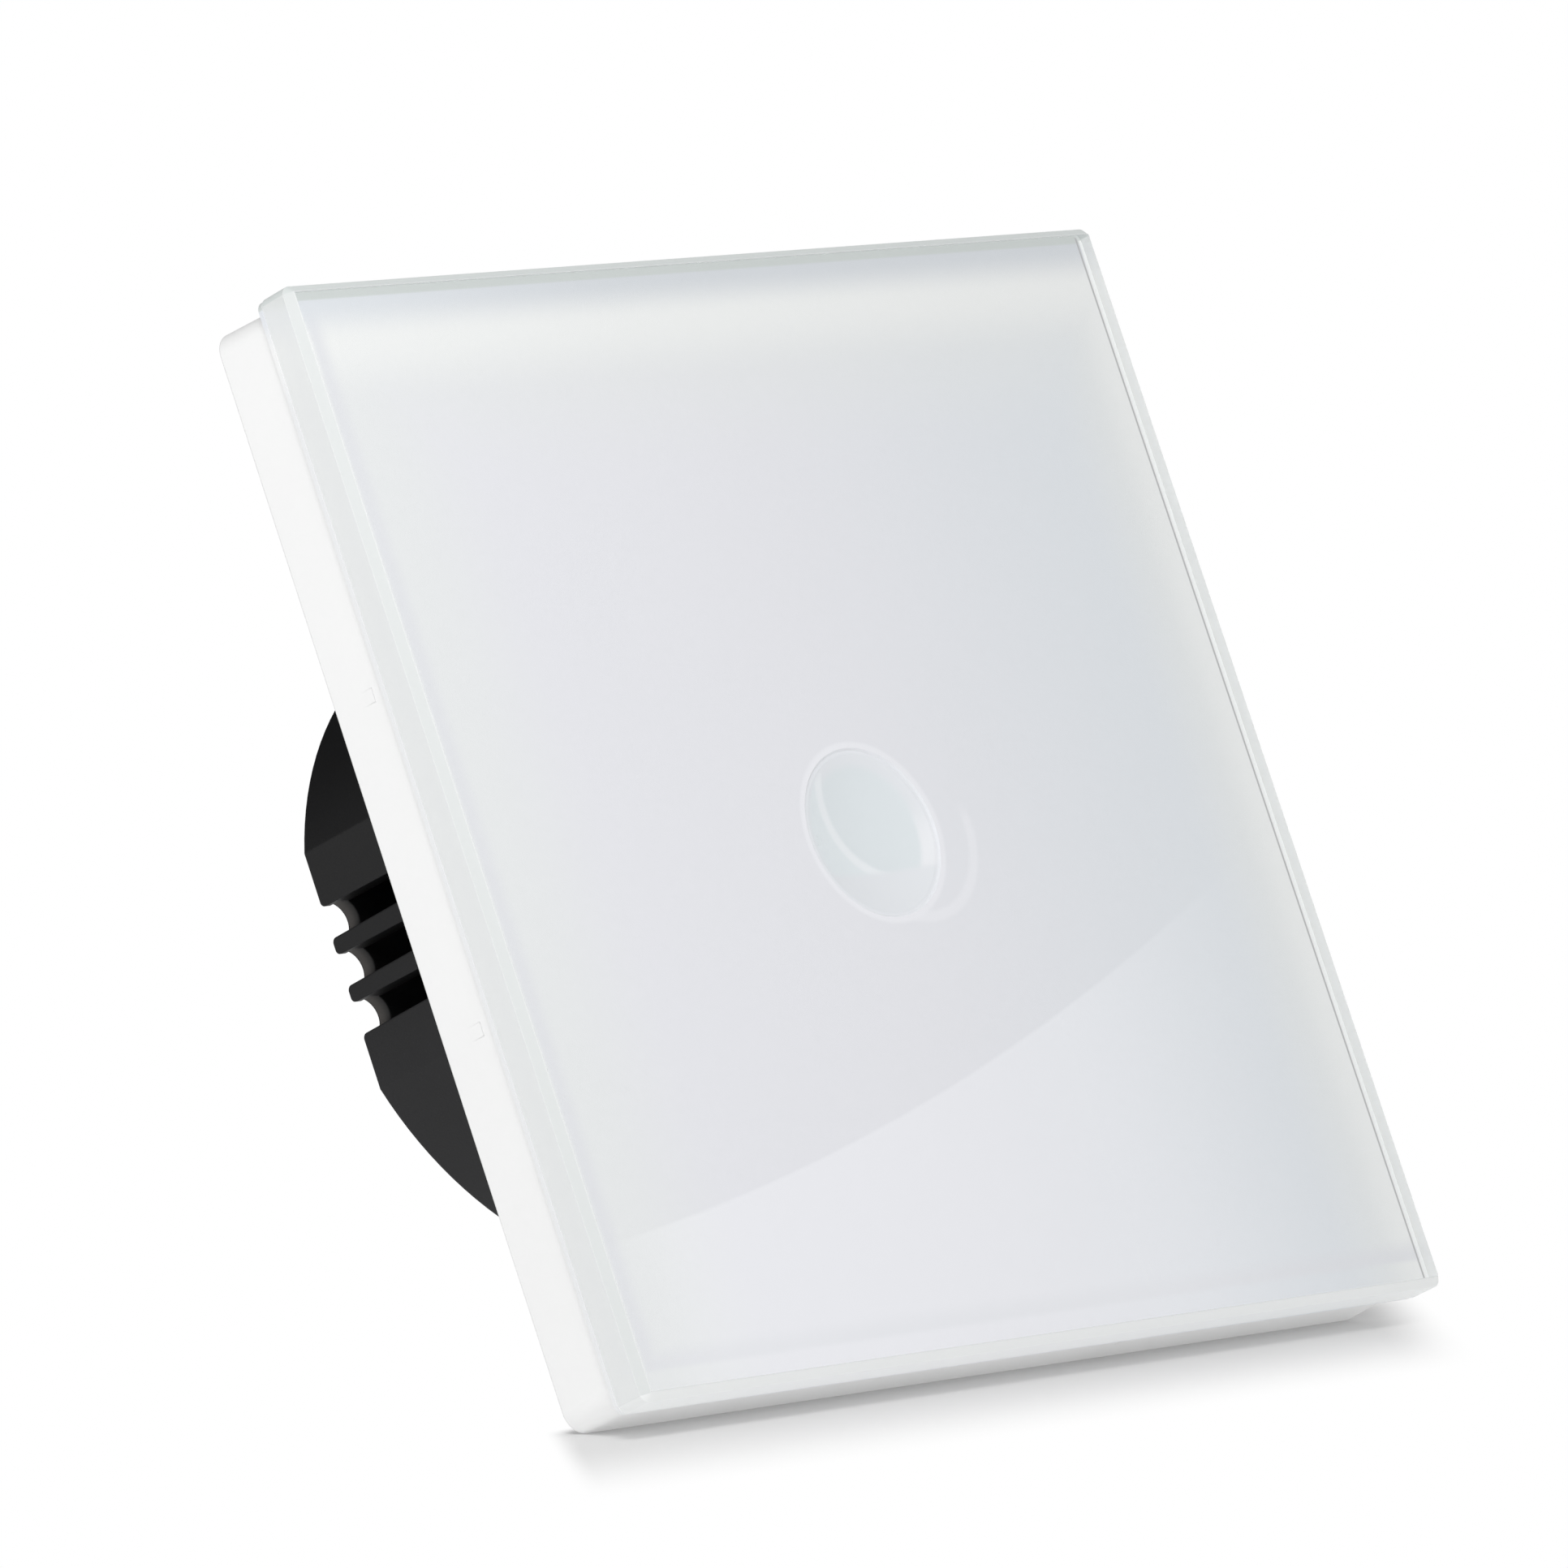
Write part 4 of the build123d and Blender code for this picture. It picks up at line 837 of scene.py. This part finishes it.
# The floor leans with the object, which stands on the lower rear edge of its frame. Near that
# edge it is grey paper, a painted shadow that the real shadow also falls on, and beyond it white.
floorLook = {"lean": 25.1, "half": 0.9, "color": (0.8, 0.8, 0.8), "bounce": 0.21, "cloud": 50 * mm,
             "shades": (0.99, 1.01), "rough": 0.9, "white": 1.0, "grey": (0.77, 0.77, 0.77),
             # where the painted shadow ends: in front, behind each half, and at the two sides, which lean by
             # skew
             "front": (3 * mm, 20 * mm), "behindLeft": (0.5 * mm, 2.5 * mm),
             "behindRight": (2 * mm, 10 * mm), "leftToRight": (-5 * mm, 5 * mm),
             "left": (39 * mm, 41.8 * mm), "right": (39.8 * mm, 47.5 * mm), "skew": 0.95}


def floorFinish():
    look = floorLook
    s = material("floorFinish")
    cloud = s.noise(look["cloud"])
    paper = s.principled({"Base Color": s.clouded(cloud, look["color"], look["shades"]),
                          "Roughness": look["rough"], "Specular IOR Level": 0.0,
                          "Emission Color": (1.0, 1.0, 1.0, 1.0), "Emission Strength": look["bounce"]})
    grey = s.principled({"Base Color": s.clouded(cloud, look["grey"], look["shades"]),
                         "Roughness": look["rough"], "Specular IOR Level": 0.0})
    x, y = s.along("X"), s.along("Y")
    atRight = x.rise(*look["leftToRight"])
    behind = y.rise(*look["behindLeft"]) * (1 - atRight) + y.rise(*look["behindRight"]) * atRight
    across = x - y * look["skew"]
    # painted shadow: the grey paper near the edge
    near = (1 - (-y).rise(*look["front"])) * (1 - behind)
    near = near * (1 - (-across).rise(*look["left"])) * (1 - across.rise(*look["right"]))
    seen = s.blend(near, s.light(look["white"]), grey)
    lit = s.blend(s.ray("Camera", "Glossy", "Transmission"), paper, seen)
    under = s.add("ShaderNodeNewGeometry", out="Backfacing")
    return s.finish(s.blend(under, lit, s.add("ShaderNodeBsdfTransparent")))


def floor():
    lean = math.radians(floorLook["lean"])
    across = Vector((floorLook["half"], 0, 0))
    back = Vector((0, math.cos(lean), math.sin(lean))) * floorLook["half"]
    edge = Vector((0, 0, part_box("panel_frame")[0].z))
    points = [edge + across * right + back * away for right, away in ((-1, -1), (1, -1), (1, 1), (-1, 1))]
    stageSheet("studioFloor", points, [(0, 1, 2, 3)], floorFinish())


floor()

# Camera at the photograph's viewing angle.
camera = {"place": (-0.774867, -0.71903, -0.210385), "turn": (102.04172, 17.85032, -43.4101),
          "lens": 359.12, "sensor": 36.0, "clip": (0.05, 20.0)}


def addCamera():
    data = bpy.data.cameras.new("photoCamera")
    data.lens, data.sensor_width = camera["lens"], camera["sensor"]
    data.clip_start, data.clip_end = camera["clip"]
    made = addObject("photoCamera", data)
    made.location = camera["place"]
    made.rotation_euler = Euler([math.radians(a) for a in camera["turn"]])
    scene.camera = made


addCamera()

# Dark card that the glass mirrors, with a patch of light under a curved edge. The card is drawn
# in millimetres on the glass, and carried to where the camera sees it mirrored.
cardLook = {"distance": 0.55, "reach": 80, "cells": 16, "light": 0.95, "height": -20.45, "slope": 0.31,
            "bend": 0.0024, "soft": 0.35, "left": (-42, -30), "right": (10, 36)}


def cardFinish():
    look = cardLook
    s = material("cardFinish")
    uv = s.add("ShaderNodeTexCoord", out="UV")
    u, v = (s.add("ShaderNodeSeparateXYZ", None, {0: uv}, out=axis) for axis in "XY")
    edge = u * look["slope"] + u * u * look["bend"] + look["height"]
    patch = (edge - v).rise(0.0, look["soft"]) * u.between(look["left"], look["right"])
    return s.finish(s.blend(patch, s.blackCloth(), s.light(look["light"])))


def card():
    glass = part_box("glass_panel")[0].y
    eye = Vector(camera["place"])
    mirrored = Vector((eye.x, 2 * glass - eye.y, eye.z))
    reach, cells = cardLook["reach"], cardLook["cells"]
    steps = [-reach + 2 * reach * k / cells for k in range(cells + 1)]
    marks = [(x, z) for z in steps for x in steps]
    points = []
    for x, z in marks:
        onGlass = Vector((x * mm, glass, z * mm))
        points.append(onGlass + (onGlass - mirrored).normalized() * cardLook["distance"])
    row = cells + 1
    faces = [(j * row + i, j * row + i + 1, (j + 1) * row + i + 1, (j + 1) * row + i)
             for j in range(cells) for i in range(cells)]
    made = stageSheet("darkCard", points, faces, cardFinish())
    uv = made.data.uv_layers.new(name="onGlass")
    for loop in made.data.loops:
        uv.data[loop.index].uv = marks[loop.vertex_index]
    onlyMirrored(made)


card()

# Black flag that keeps the light off the top of the housing, seen by reflections alone.
flagLook = {"place": (0.0, 0.16, 0.22), "target": (-0.02, 0.015, 0.0), "half": 0.2}


def flag():
    half = flagLook["half"]
    s = material("flagFinish")
    made = stageSheet("blackFlag", [(-half, -half, 0), (half, -half, 0), (half, half, 0), (-half, half, 0)],
                      [(0, 1, 2, 3)], s.finish(s.blackCloth()))
    aim(made, flagLook["place"], flagLook["target"])
    onlyMirrored(made)


flag()

# Small lamp at the upper left, which draws the shadow. Mirrors don't show it.
keyLamp = {"place": (-0.15, -0.13, 0.08), "target": (0.0, 0.0, 0.0), "size": 0.1, "watts": 0.12}


def lamp():
    data = bpy.data.lights.new("keyLamp", "AREA")
    data.shape, data.size, data.energy = "DISK", keyLamp["size"], keyLamp["watts"]
    made = addObject("keyLamp", data)
    made.visible_glossy = False
    aim(made, keyLamp["place"], keyLamp["target"])


lamp()
scene.view_settings.view_transform = "Standard"
print("studio ready")
